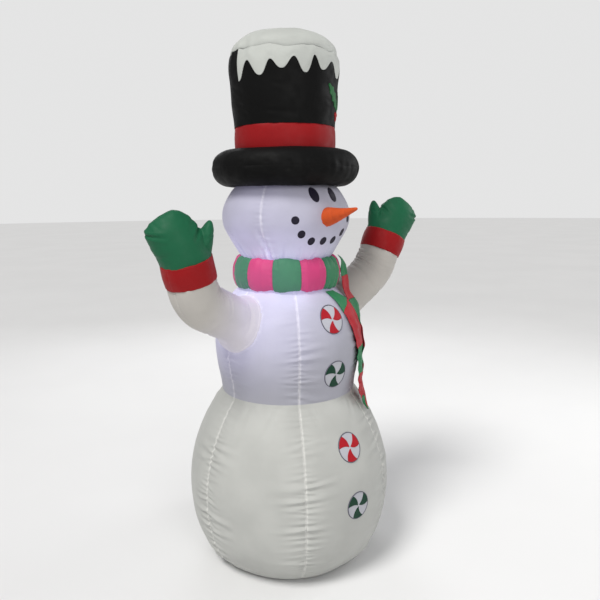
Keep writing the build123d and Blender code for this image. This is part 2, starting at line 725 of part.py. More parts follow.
def make_tabs(leads):
    """Cloth tabs sewn into the rear seam, and one at the neck, each with an eye for the lead."""
    inside_base = base_volume(CLOTH)
    inside_torso = revolve(filled_face(inset(TORSO_LINE, CLOTH)), Axis.Z, 360)
    tabs = []
    for x, y, z in TAB_POINTS:
        strip = Box(34, 14, 1.6, align=(Align.MIN, Align.CENTER, Align.CENTER))
        heading = degrees(atan2(y, x))
        strip = Pos(x, y, z) * Rot(0, 0, heading) * Pos(-6, 0, 0) * strip
        tabs.append(strip & (inside_base if z < WAIST_Z else inside_torso))
    neck = Pos(-48, -6, 1024) * Box(110, 14, 1.6, align=(Align.MAX, Align.CENTER, Align.CENTER))
    tabs.append(neck & inside_torso)
    for lead in leads:
        tabs = [tab - lead for tab in tabs]
    return tabs


# ---- deflation zip ----
def zip_box(x, y, z, along, across, high):
    """A block on the placket, from its centre and the lift of its underside."""
    return zip_plane(z).location * Pos(x, y, 0) * Box(
        along, across, high, align=(Align.CENTER, Align.CENTER, Align.MIN))


def zip_tape(side):
    middle = ZIP_PARTING + ZIP_TOOTH / 2 + 0.3 + ZIP_TAPE / 2
    return zip_box(0, side * middle, 0, ZIP_LENGTH + 14, ZIP_TAPE, ZIP_TAPE_THICK)


def make_zip_tapes():
    return [zip_tape(side) for side in (-1, 1)]


def make_zip_teeth():
    teeth = []
    count = int(ZIP_LENGTH / ZIP_TOOTH_PITCH) - 5
    for side in (-1, 1):
        for i in range(count):
            x = (i - (count - 1) / 2) * ZIP_TOOTH_PITCH
            tooth = zip_box(x, side * (ZIP_PARTING + ZIP_TOOTH / 2), -0.7, 1.6, ZIP_TOOTH, 2.2)
            teeth.append(tooth - zip_tape(side))
    return teeth


def make_zip_stops():
    ends = []
    for x in (-ZIP_LENGTH / 2 + 4, ZIP_LENGTH / 2 - 4):
        ends.append(zip_box(x, 0, ZIP_TAPE_THICK, 4, 8, 1.4))
    return ends


def make_zip_slider():
    body = zip_box(ZIP_REST, 0, -1.7, 9, 8.4, 4.7)
    teeth_room = zip_box(ZIP_REST, 0, -1.0, 20, 6.4, 2.8)
    tape_room = zip_box(ZIP_REST, 0, -0.3, 20, 20, 1.4)
    post = zip_box(ZIP_REST, 0, -1.4, 3, 0.8, 3.8)
    bridge = zip_box(ZIP_REST, 0, 3.0, 7, 2.4, 3.0) - zip_box(ZIP_REST, 0, 3.0, 3.4, 10, 2.2)
    return body - teeth_room - tape_room + post + bridge


def make_zip_pull():
    """A flat tab whose end bar turns in the slider's bridge, with an eye round the bridge's leg."""
    tab = zip_box(ZIP_REST - 13, 0, 3.6, 26.4, 7, 0.8)
    grip = zip_box(ZIP_REST - 20, 0, 3, 8, 3.4, 4)
    eye = zip_box(ZIP_REST - 2.9, 0, 3, 3.8, 3.4, 4)
    return tab - grip - eye


# ---- ground fixings ----
def make_stake_tabs():
    tabs = []
    floor = Cylinder(FLOOR_R, 20)
    for azimuth in STAKE_AZIMUTHS:
        strap = Pos(FLOOR_R - 6, 0, 0) * Box(46, 34, CLOTH, align=(Align.MIN, Align.CENTER, Align.MIN))
        hole = Pos(STAKE_R, 0, 0) * Cylinder(GROMMET_R + 1.2, 10)
        tabs.append(spin(azimuth) * (strap - floor - hole))
    return tabs


def make_grommets():
    rings = []
    for azimuth in STAKE_AZIMUTHS:
        upwards = (Align.CENTER, Align.CENTER, Align.MIN)
        barrel = Cylinder(GROMMET_R + 1.2, CLOTH + 1.0, align=upwards)
        flange = Pos(0, 0, CLOTH) * Cylinder(GROMMET_R + 5, 1.0, align=upwards)
        ring = barrel + flange - Cylinder(GROMMET_R, 20)
        rings.append(spin(azimuth) * Pos(STAKE_R, 0, 0) * ring)
    return rings


# ---- the whole snowman ----
def main():
    os.makedirs("parts", exist_ok=True)
    save("base_floor_panel", Cylinder(FLOOR_R, CLOTH, align=(Align.CENTER, Align.CENTER, Align.MIN)))
    save("base_gores", make_base())
    save("torso_gores", make_torso())
    save("head_panels", make_head())

    save("hat_brim_lower", make_brim_lower())
    save("hat_brim_upper", make_brim_upper())
    save("hat_band", make_band())
    save("hat_crown_wall", make_crown())
    save("hat_top_panel", make_crown_top())
    save("hat_snow_drips", make_drips())
    save("holly_leaves", make_holly_leaves())
    save("holly_berries", make_holly_berries())

    save("eye_patches", make_eyes())
    save("mouth_coals", make_mouth())
    save("carrot_nose", make_nose())

    green, red = make_collar()
    save("scarf_collar_green", green)
    save("scarf_collar_red", red)
    green, red = make_tail_long()
    save("tail_long_green", green)
    save("tail_long_red", red)
    green, red = make_tail_short()
    save("tail_short_green", green)
    save("tail_short_red", red)

    patches, rings, red, green = make_buttons()
    save("button_patches", patches)
    save("button_outline_rings", rings)
    save("button_swirls_red", red)
    save("button_swirls_green", green)

    for name, arm in (("right", ARM_RIGHT), ("left", ARM_LEFT)):
        save("sleeve_" + name, make_sleeve(arm))
        save("cuff_" + name, make_cuff(arm))
        save("mitten_" + name, make_mitten(arm))

    save("blower_sleeve", make_port_sleeve())
    save("blower_strap", make_port_strap())
    save("strap_buckle", make_strap_buckle())
    save("blower_housing_front", make_housing_front())
    save("blower_housing_rear", make_housing_rear())
    save("blower_intake_grille", make_guard(HOUSING_BACK_Y - 4, 4, (26, 40, 54, 66)))
    save("blower_outlet_guard", make_guard(HOUSING_FRONT_Y, 4, (32, 54)))
    save("fan_motor", make_motor())
    save("motor_mount", make_motor_mount())
    save("motor_shaft", make_shaft())
    save("fan_impeller", make_impeller())
    save("blower_screws", make_screws())
    save("blower_feet", make_blower_feet())
    save("dc_inlet", make_jack())
    save("lamp_lead_socket", make_lead_socket())

    leads = [tube(CABLE_ROUTE, CABLE_R), tube(CABLE_UPPER, CABLE_R)]
    sockets, bulbs = make_lamps(leads)
    save("led_cable", leads)
    save("led_sockets", sockets)
    save("led_bulbs", bulbs)
    save("lamp_tie_tabs", make_tabs(leads))

    save("zip_placket", make_placket())
    save("zip_tapes", make_zip_tapes())
    save("zip_teeth", make_zip_teeth())
    save("zip_stops", make_zip_stops())
    save("zip_slider", make_zip_slider())
    save("zip_pull", make_zip_pull())

    save("stake_tabs", make_stake_tabs())
    save("stake_grommets", make_grommets())


main()
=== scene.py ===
from functools import partial
from math import atan2, cos, pi, radians, sin, sqrt

import bpy
import numpy as np
from mathutils import Matrix, Vector


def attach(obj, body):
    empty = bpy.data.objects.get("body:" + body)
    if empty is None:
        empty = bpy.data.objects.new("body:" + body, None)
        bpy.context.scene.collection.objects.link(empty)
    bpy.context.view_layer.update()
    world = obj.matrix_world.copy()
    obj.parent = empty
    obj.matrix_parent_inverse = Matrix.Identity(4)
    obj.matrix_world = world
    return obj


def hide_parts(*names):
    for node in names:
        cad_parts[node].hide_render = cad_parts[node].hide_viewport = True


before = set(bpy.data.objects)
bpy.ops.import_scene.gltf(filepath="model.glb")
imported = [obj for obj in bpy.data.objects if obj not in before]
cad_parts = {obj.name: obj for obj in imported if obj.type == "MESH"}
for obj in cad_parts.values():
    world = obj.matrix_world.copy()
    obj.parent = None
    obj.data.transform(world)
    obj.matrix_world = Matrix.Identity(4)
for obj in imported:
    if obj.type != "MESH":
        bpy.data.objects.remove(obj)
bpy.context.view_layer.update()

# Inflatable yard snowman. Points are worked out in millimetres and scaled once, when a mesh is made.
# Azimuths are measured from the front, positive towards +X. Profiles are (radius, height).
MM = 0.001
FAR = 1000.0               # "no stitch line near here"
UP = np.array([0.0, 0.0, 1.0])

# ---- dimensions shared with the CAD ----
GORE_SEAMS = [-150, -90, -30, 30, 90, 150]
HEAD_SEAMS = [-60, 60, 180]
FOOT_R, BASE_R, BASE_MID_Z, BASE_DROP, BASE_SPAN = 233.0, 362.0, 280.0, 113.0, 325.0
WAIST_Z, NECK_Z, HEAD_TOP_Z = 618.0, 1062.0, 1334.0
TORSO_LINE = [(237, WAIST_Z), (242, 656), (251, 702), (257, 752), (257.5, 800), (250, 850),
              (233, 900), (200, 950), (172, 977), (140, 1000), (125, 1030)]
HEAD_LINE = [(125, 1030), (137, NECK_Z), (157, 1088), (183, 1129), (207, 1170), (219, 1200),
             (221.5, 1226), (218, 1253), (199, 1294), (180, 1320), (164, HEAD_TOP_Z)]
COLLAR_LINE = [(134, 1031), (151, 1002), (172, 983), (186, 1006), (190, 1038), (184, 1066),
               (163, 1090), (146, 1064)]
COLLAR_START, COLLAR_PATCHES, COLLAR_R = -113.5, 12, 185.0
BRIM_R, BRIM_Z, BRIM_WIDE, BRIM_HIGH = 193.0, 1386.0, 58.5, 60.0
BAND_R, BAND_LOW_Z, BAND_TOP_Z = 170.5, 1440.0, 1520.0
RIM_R, RIM_Z, TOP_HIGH = 180.0, 1750.0, 80.0
CROWN_LINE = [(BAND_R, BAND_TOP_Z), (173.5, 1553), (178, 1592), (182, 1670), (185, 1708), (RIM_R, RIM_Z)]
DRIP_TIPS = [(-92, 1655), (-63, 1664), (-41, 1681), (-17, 1670), (3, 1684), (32, 1671), (57, 1668),
             (92, 1664)]
DRIP_VALLEYS = [1712, 1708, 1716, 1723, 1716, 1712, 1710]
SHOULDER, SHOULDER_R, SLEEVE_R, CUFF_LENGTH = (200.0, -20.0, 868.0), 100.0, 76.0, 72.0
ARMS = {"right": {"side": -1, "reach": 231.6, "rise": 171.0, "yaw": 13.7,
                  "low": 26.0, "high": 74.0, "bend": 105.0, "twist": -35.0, "seed": 40},
        "left": {"side": 1, "reach": 213.0, "rise": 214.0, "yaw": 12.0,
                 "low": 38.0, "high": 66.0, "bend": 150.0, "twist": -8.0, "seed": 70}}
BUTTON_R = 46.0
BUTTONS = [(891, "red"), (710, "green"), (475, "red"), (287, "green")]
NOSE_Z, NOSE_TILT = 1225.0, 11.0
BLOWER_Z, PORT_R, PORT_END_Y = 110.0, 81.8, 392.0
ZIP_Z, ZIP_SINK = 500.0, 7.0
LAMPS = [(-0.068, 0.022, 0.919), (-0.050, 0.0, 1.118)]


# ---- camera, stage and lights ----
def make_camera():
    azimuth, yaw, pitch, roll = radians(-38.5), radians(1.24), radians(9.46), radians(0.55)
    heading = Vector((-sin(azimuth), cos(azimuth), 0))
    heading.rotate(Matrix.Rotation(-yaw, 3, "Z"))
    forward = heading * cos(pitch) + Vector((0, 0, -sin(pitch)))
    right = Vector((heading.y, -heading.x, 0))
    up = right.cross(forward)
    right_r = right * cos(roll) - up * sin(roll)
    up_r = up * cos(roll) + right * sin(roll)
    data = bpy.data.cameras.new("camera")
    data.lens, data.sensor_width = 36, 36
    camera = bpy.data.objects.new("camera", data)
    bpy.context.scene.collection.objects.link(camera)
    turn = Matrix((right_r, up_r, -forward)).transposed()
    camera.matrix_world = Matrix.Translation((-1.317, -1.656, 1.280)) @ turn.to_4x4()
    bpy.context.scene.camera = camera


def make_light(name, kind, place, target, strength, size, colour):
    """A disc lamp of that size in metres, or a sun of that angle in radians."""
    data = bpy.data.lights.new(name, kind)
    data.energy, data.color = strength, colour
    if kind == "SUN":
        data.angle = size
    else:
        data.shape, data.size = "DISK", size
    light = bpy.data.objects.new(name, data)
    bpy.context.scene.collection.objects.link(light)
    light.location = place
    light.rotation_mode = "QUATERNION"
    light.rotation_quaternion = (Vector(target) - Vector(place)).to_track_quat("-Z", "Y")


def make_studio():
    make_light("key", "SUN", (-2.7, -0.6, 4.4), (0, 0, 0.3), 2.25, 0.36, (1.0, 0.99, 0.97))
    make_light("front", "AREA", (-1.2, -3.4, 2.3), (0, 0, 1.0), 36, 1.8, (1.0, 0.99, 0.98))
    make_light("right", "AREA", (3.2, -1.0, 2.2), (0, 0, 1.2), 27, 2.0, (0.98, 0.99, 1.0))
    make_light("rear", "AREA", (1.6, 3.0, 2.6), (0, 0, 0.9), 30, 2.2, (0.97, 0.98, 1.0))
    world = bpy.data.worlds.new("studio")
    world.use_nodes = True
    tree = world.node_tree
    seen = tree.nodes.new("ShaderNodeLightPath").outputs["Is Camera Ray"]
    shade = tree.nodes.new("ShaderNodeMix")
    shade.data_type = "RGBA"
    shade.inputs[6].default_value = (0.32, 0.32, 0.325, 1)
    shade.inputs[7].default_value = (0.78, 0.78, 0.78, 1)
    tree.links.new(seen, shade.inputs[0])
    tree.links.new(shade.outputs[2], tree.nodes["Background"].inputs["Color"])
    bpy.context.scene.world = world
    bpy.context.scene.view_settings.view_transform = "Standard"


# ---- material nodes ----
class Nodes:
    """Short ways to add and link shader nodes of one material."""

    def __init__(self, name):
        self.material = bpy.data.materials.new(name)
        self.material.use_nodes = True
        self.tree = self.material.node_tree
        self.shader = self.tree.nodes["Principled BSDF"]
        self.coords = self.add("TexCoord")

    def add(self, kind, **settings):
        node = self.tree.nodes.new("ShaderNode" + kind)
        for key, value in settings.items():
            setattr(node, key, value)
        return node

    def put(self, socket, value):
        if isinstance(value, bpy.types.NodeSocket):
            self.tree.links.new(value, socket)
        else:
            socket.default_value = value

    def math(self, operation, *values):
        node = self.add("Math", operation=operation)
        for socket, value in zip(node.inputs, values):
            self.put(socket, value)
        return node.outputs[0]

    def noise(self, scale, detail=2.0, rough=0.5, vector=None):
        node = self.add("TexNoise")
        self.put(node.inputs["Vector"], vector or self.coords.outputs["Object"])
        self.put(node.inputs["Scale"], scale)
        self.put(node.inputs["Detail"], detail)
        self.put(node.inputs["Roughness"], rough)
        return node.outputs["Fac"]

    def wave(self, direction, period, vector):
        node = self.add("TexWave", bands_direction=direction)
        self.put(node.inputs["Vector"], vector)
        self.put(node.inputs["Scale"], 2 * pi / (20 * period))
        return node.outputs["Fac"]

    def ramp(self, value, low, high, to_low=0.0, to_high=1.0):
        node = self.add("MapRange", interpolation_type="SMOOTHSTEP")
        for socket, x in zip(node.inputs, (value, low, high, to_low, to_high)):
            self.put(socket, x)
        return node.outputs[0]

    def mix(self, share, a, b):
        node = self.add("Mix", data_type="RGBA")
        self.put(node.inputs[0], share)
        self.put(node.inputs[6], a)
        self.put(node.inputs[7], b)
        return node.outputs[2]

    def bump(self, height, distance, strength=1.0, under=None):
        node = self.add("Bump")
        self.put(node.inputs["Height"], height)
        node.inputs["Distance"].default_value = distance
        node.inputs["Strength"].default_value = strength
        if under is not None:
            self.put(node.inputs["Normal"], under)
        return node.outputs["Normal"]

    def mark(self, name):
        return self.add("Attribute", attribute_name=name).outputs["Fac"]

    def set(self, **values):
        for key, value in values.items():
            self.put(self.shader.inputs[key.replace("_", " ")], value)


def linear(colour, scale=1.0):
    """sRGB 0..255 to linear RGBA."""
    c = np.array(colour, float) / 255
    c = np.where(c <= 0.04045, c / 12.92, ((c + 0.055) / 1.055) ** 2.4) * scale
    return (*[float(min(x, 1)) for x in c], 1.0)


def cloth(name, colour, seam_colour=None, thread=None, rough=0.58, sheen=0.05, gloss=0.22, glow=0.0,
          weave=0.0011, mottle=0.05, crumple=0.00035):
    """Thin coated polyester: plain weave, fine crumple, light seam bands and dashed stitches, and with glow a
    painted glow: emission that paints the inside lamps' light showing through the cloth.
    """
    n = Nodes(name)
    base, dark, light = linear(colour), linear(colour, 1 - mottle), linear(colour, 1 + mottle)
    tone = n.mix(n.ramp(n.noise(7.0, 3.0), 0.3, 0.7), dark, light)
    uv = n.coords.outputs["UV"]
    warp, weft = n.wave("X", weave, uv), n.wave("Y", weave, uv)
    threads = n.math("MULTIPLY", warp, weft)
    tone = n.mix(n.ramp(threads, 0.0, 1.0, 0.0, 0.10), tone, linear(colour, 0.72))
    seam = n.math("MULTIPLY", n.mark("seam"), n.ramp(n.noise(70.0, 2.0), 0.25, 0.7, 0.45, 1.0))
    tone = n.mix(seam, tone, linear(seam_colour or colour))
    on_line = n.ramp(n.mark("stitch"), 0.35, 0.75, 1.0, 0.0)
    dash = n.math("PINGPONG", n.mark("along"), 1.6)
    stitch = n.math("MULTIPLY", on_line, n.ramp(dash, 0.45, 0.65))
    tone = n.mix(stitch, tone, linear(thread or [c * 0.8 for c in colour]))
    n.set(Base_Color=tone, Roughness=n.ramp(n.noise(38.0, 2.0), 0.3, 0.7, rough - 0.07, rough + 0.07),
          Sheen_Weight=sheen, Sheen_Roughness=0.4, Specular_IOR_Level=gloss)
    creases = n.bump(n.noise(85.0, 3.5, 0.55), crumple, 0.8)
    woven = n.bump(threads, 0.00012, 0.35, creases)
    n.set(Normal=n.bump(stitch, 0.00045, 0.8, woven))
    if glow:
        # painted glow: emission paints the light of the lamps inside shining through the cloth, strongest to
        # the right of and in front of each lamp, broken up by noise streaks
        total = None
        for (x, y, z), reach, share in ((LAMPS[0], 0.34, 1.0), (LAMPS[1], 0.30, 0.8)):
            gap = n.add("VectorMath", operation="DISTANCE")
            n.put(gap.inputs[0], n.coords.outputs["Object"])
            gap.inputs[1].default_value = (x - 0.05, y - 0.03, z)
            part = n.ramp(gap.outputs["Value"], 0.10, reach, share, 0.0)
            total = part if total is None else n.math("ADD", total, part)
        painted_glow_streak = n.ramp(n.noise(9.0, 1.0), 0.3, 0.7, 0.85, 1.1)
        n.set(Emission_Color=(0.66, 0.62, 1.0, 1.0),
              Emission_Strength=n.math("MULTIPLY", n.math("MULTIPLY", total, painted_glow_streak), glow))
    return n.material


def webbing(name, colour):
    """Ribbed polyester webbing or zip tape."""
    n = Nodes(name)
    uv = n.coords.outputs["UV"]
    ribs = n.math("MULTIPLY", n.wave("X", 0.0016, uv), n.wave("Y", 0.0024, uv))
    tone = n.mix(n.ramp(n.noise(30.0, 3.0), 0.3, 0.7), linear(colour, 0.85), linear(colour, 1.15))
    tone = n.mix(n.ramp(ribs, 0.0, 1.0, 0.0, 0.35), tone, linear(colour, 0.5))
    on_line = n.ramp(n.mark("stitch"), 0.4, 0.8, 1.0, 0.0)
    stitch = n.math("MULTIPLY", on_line, n.ramp(n.math("PINGPONG", n.mark("along"), 1.6), 0.45, 0.65))
    n.set(Base_Color=n.mix(stitch, tone, linear((200, 200, 198))), Sheen_Weight=0.2,
          Roughness=n.ramp(n.noise(50.0), 0.3, 0.7, 0.6, 0.8),
          Normal=n.bump(ribs, 0.0004, 0.8, n.bump(n.noise(400.0, 2.0), 0.0001, 0.5)))
    return n.material


def plastic(name, colour, rough=0.42, grain=900.0, wear=0.10):
    """Moulded plastic with a spark-eroded grain, faint flow marks and paler scuffed spots."""
    n = Nodes(name)
    tone = n.mix(n.ramp(n.noise(9.0, 3.0), 0.3, 0.7), linear(colour, 0.88), linear(colour, 1.10))
    scuffs = n.ramp(n.noise(45.0, 5.0, 0.7), 0.66, 0.78, 0.0, wear)
    n.set(Base_Color=n.mix(scuffs, tone, linear([c + 70 for c in colour])),
          Roughness=n.ramp(n.noise(60.0, 3.0), 0.3, 0.7, rough - 0.06, rough + 0.12),
          Normal=n.bump(n.noise(grain, 2.0), 0.00008, 0.6, n.bump(n.noise(14.0), 0.0006, 0.25)))
    return n.material


def metal(name, colour, rough=0.3, stretch=(1.0, 1.0, 30.0), tarnish=(90, 70, 40)):
    """Metal with drawn lines, small scratches and tarnish in patches."""
    n = Nodes(name)
    mapping = n.add("Mapping")
    n.put(mapping.inputs["Vector"], n.coords.outputs["Object"])
    mapping.inputs["Scale"].default_value = stretch
    lines = n.noise(160.0, 4.0, 0.6, mapping.outputs[0])
    spots = n.ramp(n.noise(120.0, 4.0, 0.65), 0.56, 0.75, 0.0, 0.35)
    n.set(Base_Color=n.mix(spots, linear(colour), linear(tarnish)), Metallic=1.0,
          Roughness=n.ramp(lines, 0.3, 0.7, rough - 0.08, rough + 0.14),
          Normal=n.bump(lines, 0.00006, 0.5))
    return n.material


def lamp_glass(name):
    """Frosted lamp cover, lit from inside."""
    n = Nodes(name)
    frost = n.ramp(n.noise(260.0, 3.0), 0.3, 0.7, 0.12, 0.3)
    n.set(Base_Color=n.mix(n.ramp(n.noise(40.0), 0.3, 0.7), (0.86, 0.86, 0.95, 1), (0.95, 0.95, 1.0, 1)),
          Roughness=frost, IOR=1.49, Emission_Color=(0.72, 0.70, 1.0, 1), Emission_Strength=2.0,
          Normal=n.bump(n.noise(500.0), 0.00005, 0.5))
    return n.material


def stage_paint():
    n = Nodes("stage_paint")
    n.set(Base_Color=n.mix(n.ramp(n.noise(0.8, 3.0), 0.3, 0.7), (0.75, 0.75, 0.75, 1), (0.77, 0.77, 0.77, 1)),
          Roughness=n.ramp(n.noise(6.0), 0.3, 0.7, 0.7, 0.8))
    return n.material


# ---- noise and creases ----
def ring_noise(angle, count, seed):
    """Smooth random values round a full turn, with that many knots."""
    knots = np.random.default_rng(seed).uniform(-1, 1, count)
    x = np.mod(angle, 2 * pi) / (2 * pi) * count
    i = np.floor(x).astype(int)
    f = x - i
    f = f * f * (3 - 2 * f)
    return knots[i % count] * (1 - f) + knots[(i + 1) % count] * f


def space_noise(points, size, seed):
    """Smooth random values in space, about one bump for each size."""
    cells = 24
    knots = np.random.default_rng(seed).uniform(-1, 1, (cells, cells, cells))
    x = np.asarray(points) / size + 1000.0
    i = np.floor(x).astype(int)
    f = x - i
    f = f * f * (3 - 2 * f)
    total = 0.0
    for corner in np.ndindex(2, 2, 2):
        weight = np.prod(np.where(corner, f, 1 - f), axis=-1)
        at = (i + corner) % cells
        total = total + weight * knots[at[..., 0], at[..., 1], at[..., 2]]
    return total


def dents(points, *waves):
    """Unevenness in space as a sum of waves, each (height, size, seed)."""
    return sum(high * space_noise(points, size, seed) for high, size, seed in waves)


def gathers(angle, away, *waves):
    """Ripples along a seam that die out away from it, each (knots, seed, height, reach)."""
    return sum(high * ring_noise(angle, count, seed) * np.exp(-away / reach)
               for count, seed, high, reach in waves)


def signed_angle(angle):
    """The same angle between minus and plus half a turn."""
    return np.mod(angle + pi, 2 * pi) - pi


def circle(count):
    """That many angles, evenly round a full turn."""
    return np.linspace(0, 2 * pi, count + 1)[:-1]


def grid(rows, cols):
    return np.meshgrid(rows, cols, indexing="ij")


def rows_of(length, step):
    return np.linspace(0, length, int(length / step) + 1)


def about_axis(r, beta, z):
    """Points at a radius, an azimuth and a height."""
    return np.stack([r * np.sin(beta), -r * np.cos(beta), z], -1)


def bell(x):
    return np.exp(-np.square(x))


def groove(x, width):
    """A valley with a low ridge on each side, 1 deep."""
    return -bell(x / width) + 0.42 * (bell((x - 2.1 * width) / width) + bell((x + 2.1 * width) / width))


def crease(x, y, start, end, width, depth):
    """A fold along a line, deepest near its start and dying out at its end."""
    ax, ay = start
    bx, by = end[0] - ax, end[1] - ay
    size = bx * bx + by * by
    t = ((x - ax) * bx + (y - ay) * by) / size
    across = ((y - ay) * bx - (x - ax) * by) / sqrt(size)
    tc = np.clip(t, 0, 1)
    taper = np.clip(1 - tc, 0, 1) ** 0.8 * np.where((t > -0.1) & (t < 1), 1.0, 0.0)
    taper = taper * np.clip((t + 0.1) / 0.25, 0, 1)
    return depth * groove(across, width * (0.8 + 0.7 * tc)) * taper


def folds(beta, z, r, table):
    """Creases on a round surface, each (azimuth, height, end azimuth, end height, width, depth)."""
    x = signed_angle(beta) * r
    return sum(crease(x, z, (radians(b0) * r, z0), (radians(b1) * r, z1), width, depth)
               for b0, z0, b1, z1, width, depth in table)


def seam_band(gap):
    """The pale band that a seam shows on each side of its line."""
    return np.clip(1.2 - gap / 5.0, 0, 1)


class Seams:
    """Gathered seams that run up a round surface: a valley, a lobe on each side, and puckers across.

    strength is a table of lengths along the seam and the puckers' share there.
    """

    def __init__(self, azimuths, length, seed, spacing=16.5, depth=1.7, reach=40.0, lobe=4.0,
                 lobe_reach=34.0, strength=None):
        rng = np.random.default_rng(seed)
        self.azimuths = [radians(a) for a in azimuths]
        self.lobe, self.lobe_reach, self.strength, self.reach = lobe, lobe_reach, strength, reach
        count = int(length / spacing)
        self.rows = []
        for _ in azimuths:
            place = (np.arange(count) + 0.5 + rng.uniform(-0.38, 0.38, count)) * spacing
            big = 0.45 + 1.35 * rng.uniform(0, 1, count) ** 2.2
            sides = []
            for _ in (-1, 1):
                sides.append({
                    "place": place + rng.uniform(-2, 2, count),
                    "depth": depth * big * rng.uniform(0.55, 1.2, count),
                    "width": rng.uniform(3.0, 5.2, count) * (0.8 + 0.3 * big),
                    "reach": reach * rng.uniform(0.45, 1.15, count) * (0.6 + 0.55 * big),
                    "tilt": rng.normal(-0.06, 0.12, count),
                })
            self.rows.append(sides)

    def gap(self, beta, r):
        """Signed distance to the nearest seam, and which seam that is."""
        turns = np.stack([signed_angle(beta - a) for a in self.azimuths])
        which = np.abs(turns).argmin(0)
        return np.take_along_axis(turns, which[None], 0)[0] * r, which

    def offset(self, s, beta, r):
        d, which = self.gap(beta, r)
        a = np.abs(d)
        out = -self.lobe * np.exp(-a / self.lobe_reach) - 1.0 * np.exp(-(a / 3.0) ** 1.5)
        strong = np.interp(s, *self.strength) if self.strength else np.ones_like(s)
        for k, sides in enumerate(self.rows):
            for side, row in zip((-1, 1), sides):
                near = (which == k) & (a < 2.4 * self.reach) & ((d >= 0) == (side > 0))
                if not near.any():
                    continue
                sn, an = s[near][:, None], a[near][:, None]
                x = sn - row["place"] - row["tilt"] * an
                lift = -row["depth"] * groove(x, row["width"] * (1 + an / 90))
                lift = lift * np.exp(-(an / row["reach"]) ** 1.6) * (0.55 + 0.45 * np.clip(an / 7, 0, 1))
                out[near] += lift.sum(1) * strong[near]
        return out


# ---- surfaces of revolution ----
def smooth_line(points, closed=False):
    """Fine table of a smooth line through points: arc length, and (radius, height)."""
    p = np.array(points, float)
    wrap = 4
    if closed:
        p = np.concatenate([p[-wrap:], p, p[:wrap + 1]])
    t = np.concatenate([[0], np.cumsum(np.linalg.norm(np.diff(p, axis=0), axis=1))])
    h, n = np.diff(t), len(p)
    a, b = np.eye(n), np.zeros((n, p.shape[1]))
    for i in range(1, n - 1):
        a[i, i - 1:i + 2] = h[i - 1], 2 * (h[i - 1] + h[i]), h[i]
        b[i] = 6 * ((p[i + 1] - p[i]) / h[i] - (p[i] - p[i - 1]) / h[i - 1])
    m = np.linalg.solve(a, b)
    x = np.linspace(t[wrap], t[-wrap - 1], 1500) if closed else np.linspace(t[0], t[-1], 1500)
    i = np.clip(np.searchsorted(t, x) - 1, 0, n - 2)
    u, v, g = (x - t[i])[:, None], (t[i + 1] - x)[:, None], h[i][:, None]
    q = (m[i] * v ** 3 + m[i + 1] * u ** 3) / (6 * g) + (p[i] / g - m[i] * g / 6) * v
    q = q + (p[i + 1] / g - m[i + 1] * g / 6) * u
    return with_length(q)


def with_length(q):
    q = np.asarray(q, float)
    return np.concatenate([[0], np.cumsum(np.linalg.norm(np.diff(q, axis=0), axis=1))]), q


class Round:
    """A line turned about the vertical axis, moved along its normal by displace(s, beta, r, z)."""

    def __init__(self, table, displace):
        self.s, self.q = table
        d = np.gradient(self.q, self.s, axis=0)
        d = d / np.linalg.norm(d, axis=1)[:, None]
        self.n = np.stack([d[:, 1], -d[:, 0]], 1)
        self.displace = displace
        self.length = self.s[-1]

    def at(self, s, beta, lift=0.0):
        s, beta = np.broadcast_arrays(np.asarray(s, float), np.asarray(beta, float))
        r, z = np.interp(s, self.s, self.q[:, 0]), np.interp(s, self.s, self.q[:, 1])
        nr, nz = np.interp(s, self.s, self.n[:, 0]), np.interp(s, self.s, self.n[:, 1])
        d = lift + self.displace(s, beta, r, z)
        rr = r + nr * d
        return about_axis(rr, beta, z + nz * d)

    def s_of(self, z):
        return np.interp(z, self.q[:, 1], self.s)

    def radius(self, z):
        return np.interp(z, self.q[:, 1], self.q[:, 0])

    def seen_from(self, azimuth, u, z, lift=0.0):
        """The surface point at a sideways distance u from an azimuth and at height z."""
        r = self.radius(z)
        beta = radians(azimuth) + np.arcsin(np.clip(u / r, -1, 1))
        return self.at(self.s_of(z), beta, lift)


def columns(seams, r, edges=(1.3, 2.8, 4.8, 7.5, 11, 15.5, *range(21, 190, 7))):
    """Azimuths of the columns of a grid, close together beside the seams."""
    angles = sorted(radians(a) for a in seams)
    out = []
    for i, a in enumerate(angles):
        b = angles[i + 1] if i + 1 < len(angles) else angles[0] + 2 * pi
        half = (b - a) / 2
        steps = [e / r for e in edges if e / r < half - 3.0 / r]
        out += [a, *[a + x for x in steps], a + half, *[b - x for x in reversed(steps)]]
    return np.array(out)


# ---- meshes ----
def make_piece(name, points, faces, body, material, replaces=(), slot=None, uvs=None, marks=None):
    """A mesh object in the row frame from points in millimetres, riding on a body."""
    mesh = bpy.data.meshes.new(name)
    points = np.asarray(points, float).reshape(-1, 3) * MM
    used = np.unique(np.concatenate([np.ravel(f) for f in faces]))
    index = np.full(len(points), -1)
    index[used] = np.arange(len(used))
    rows = [tuple(int(i) for i in index[list(f)]) for f in faces]
    mesh.from_pydata(points[used].tolist(), [], rows)
    if uvs is not None:
        layer = mesh.uv_layers.new(name="weave")
        layer.data.foreach_set("uv", (np.asarray(uvs, float).reshape(-1, 2) * MM).ravel())
    values = {"seam": 0.0, "stitch": FAR, "along": 0.0}
    values.update(marks or {})
    for key, value in values.items():
        layer = mesh.attributes.new(key, "FLOAT", "POINT")
        value = np.broadcast_to(np.ravel(value) if np.ndim(value) else value, (len(points),))
        layer.data.foreach_set("value", value[used].astype(np.float32))
    mesh.polygons.foreach_set("use_smooth", [True] * len(mesh.polygons))
    mesh.materials.append(material)
    piece = bpy.data.objects.new(name, mesh)
    bpy.context.scene.collection.objects.link(piece)
    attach(piece, body)
    if replaces:
        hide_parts(*replaces)
    return piece


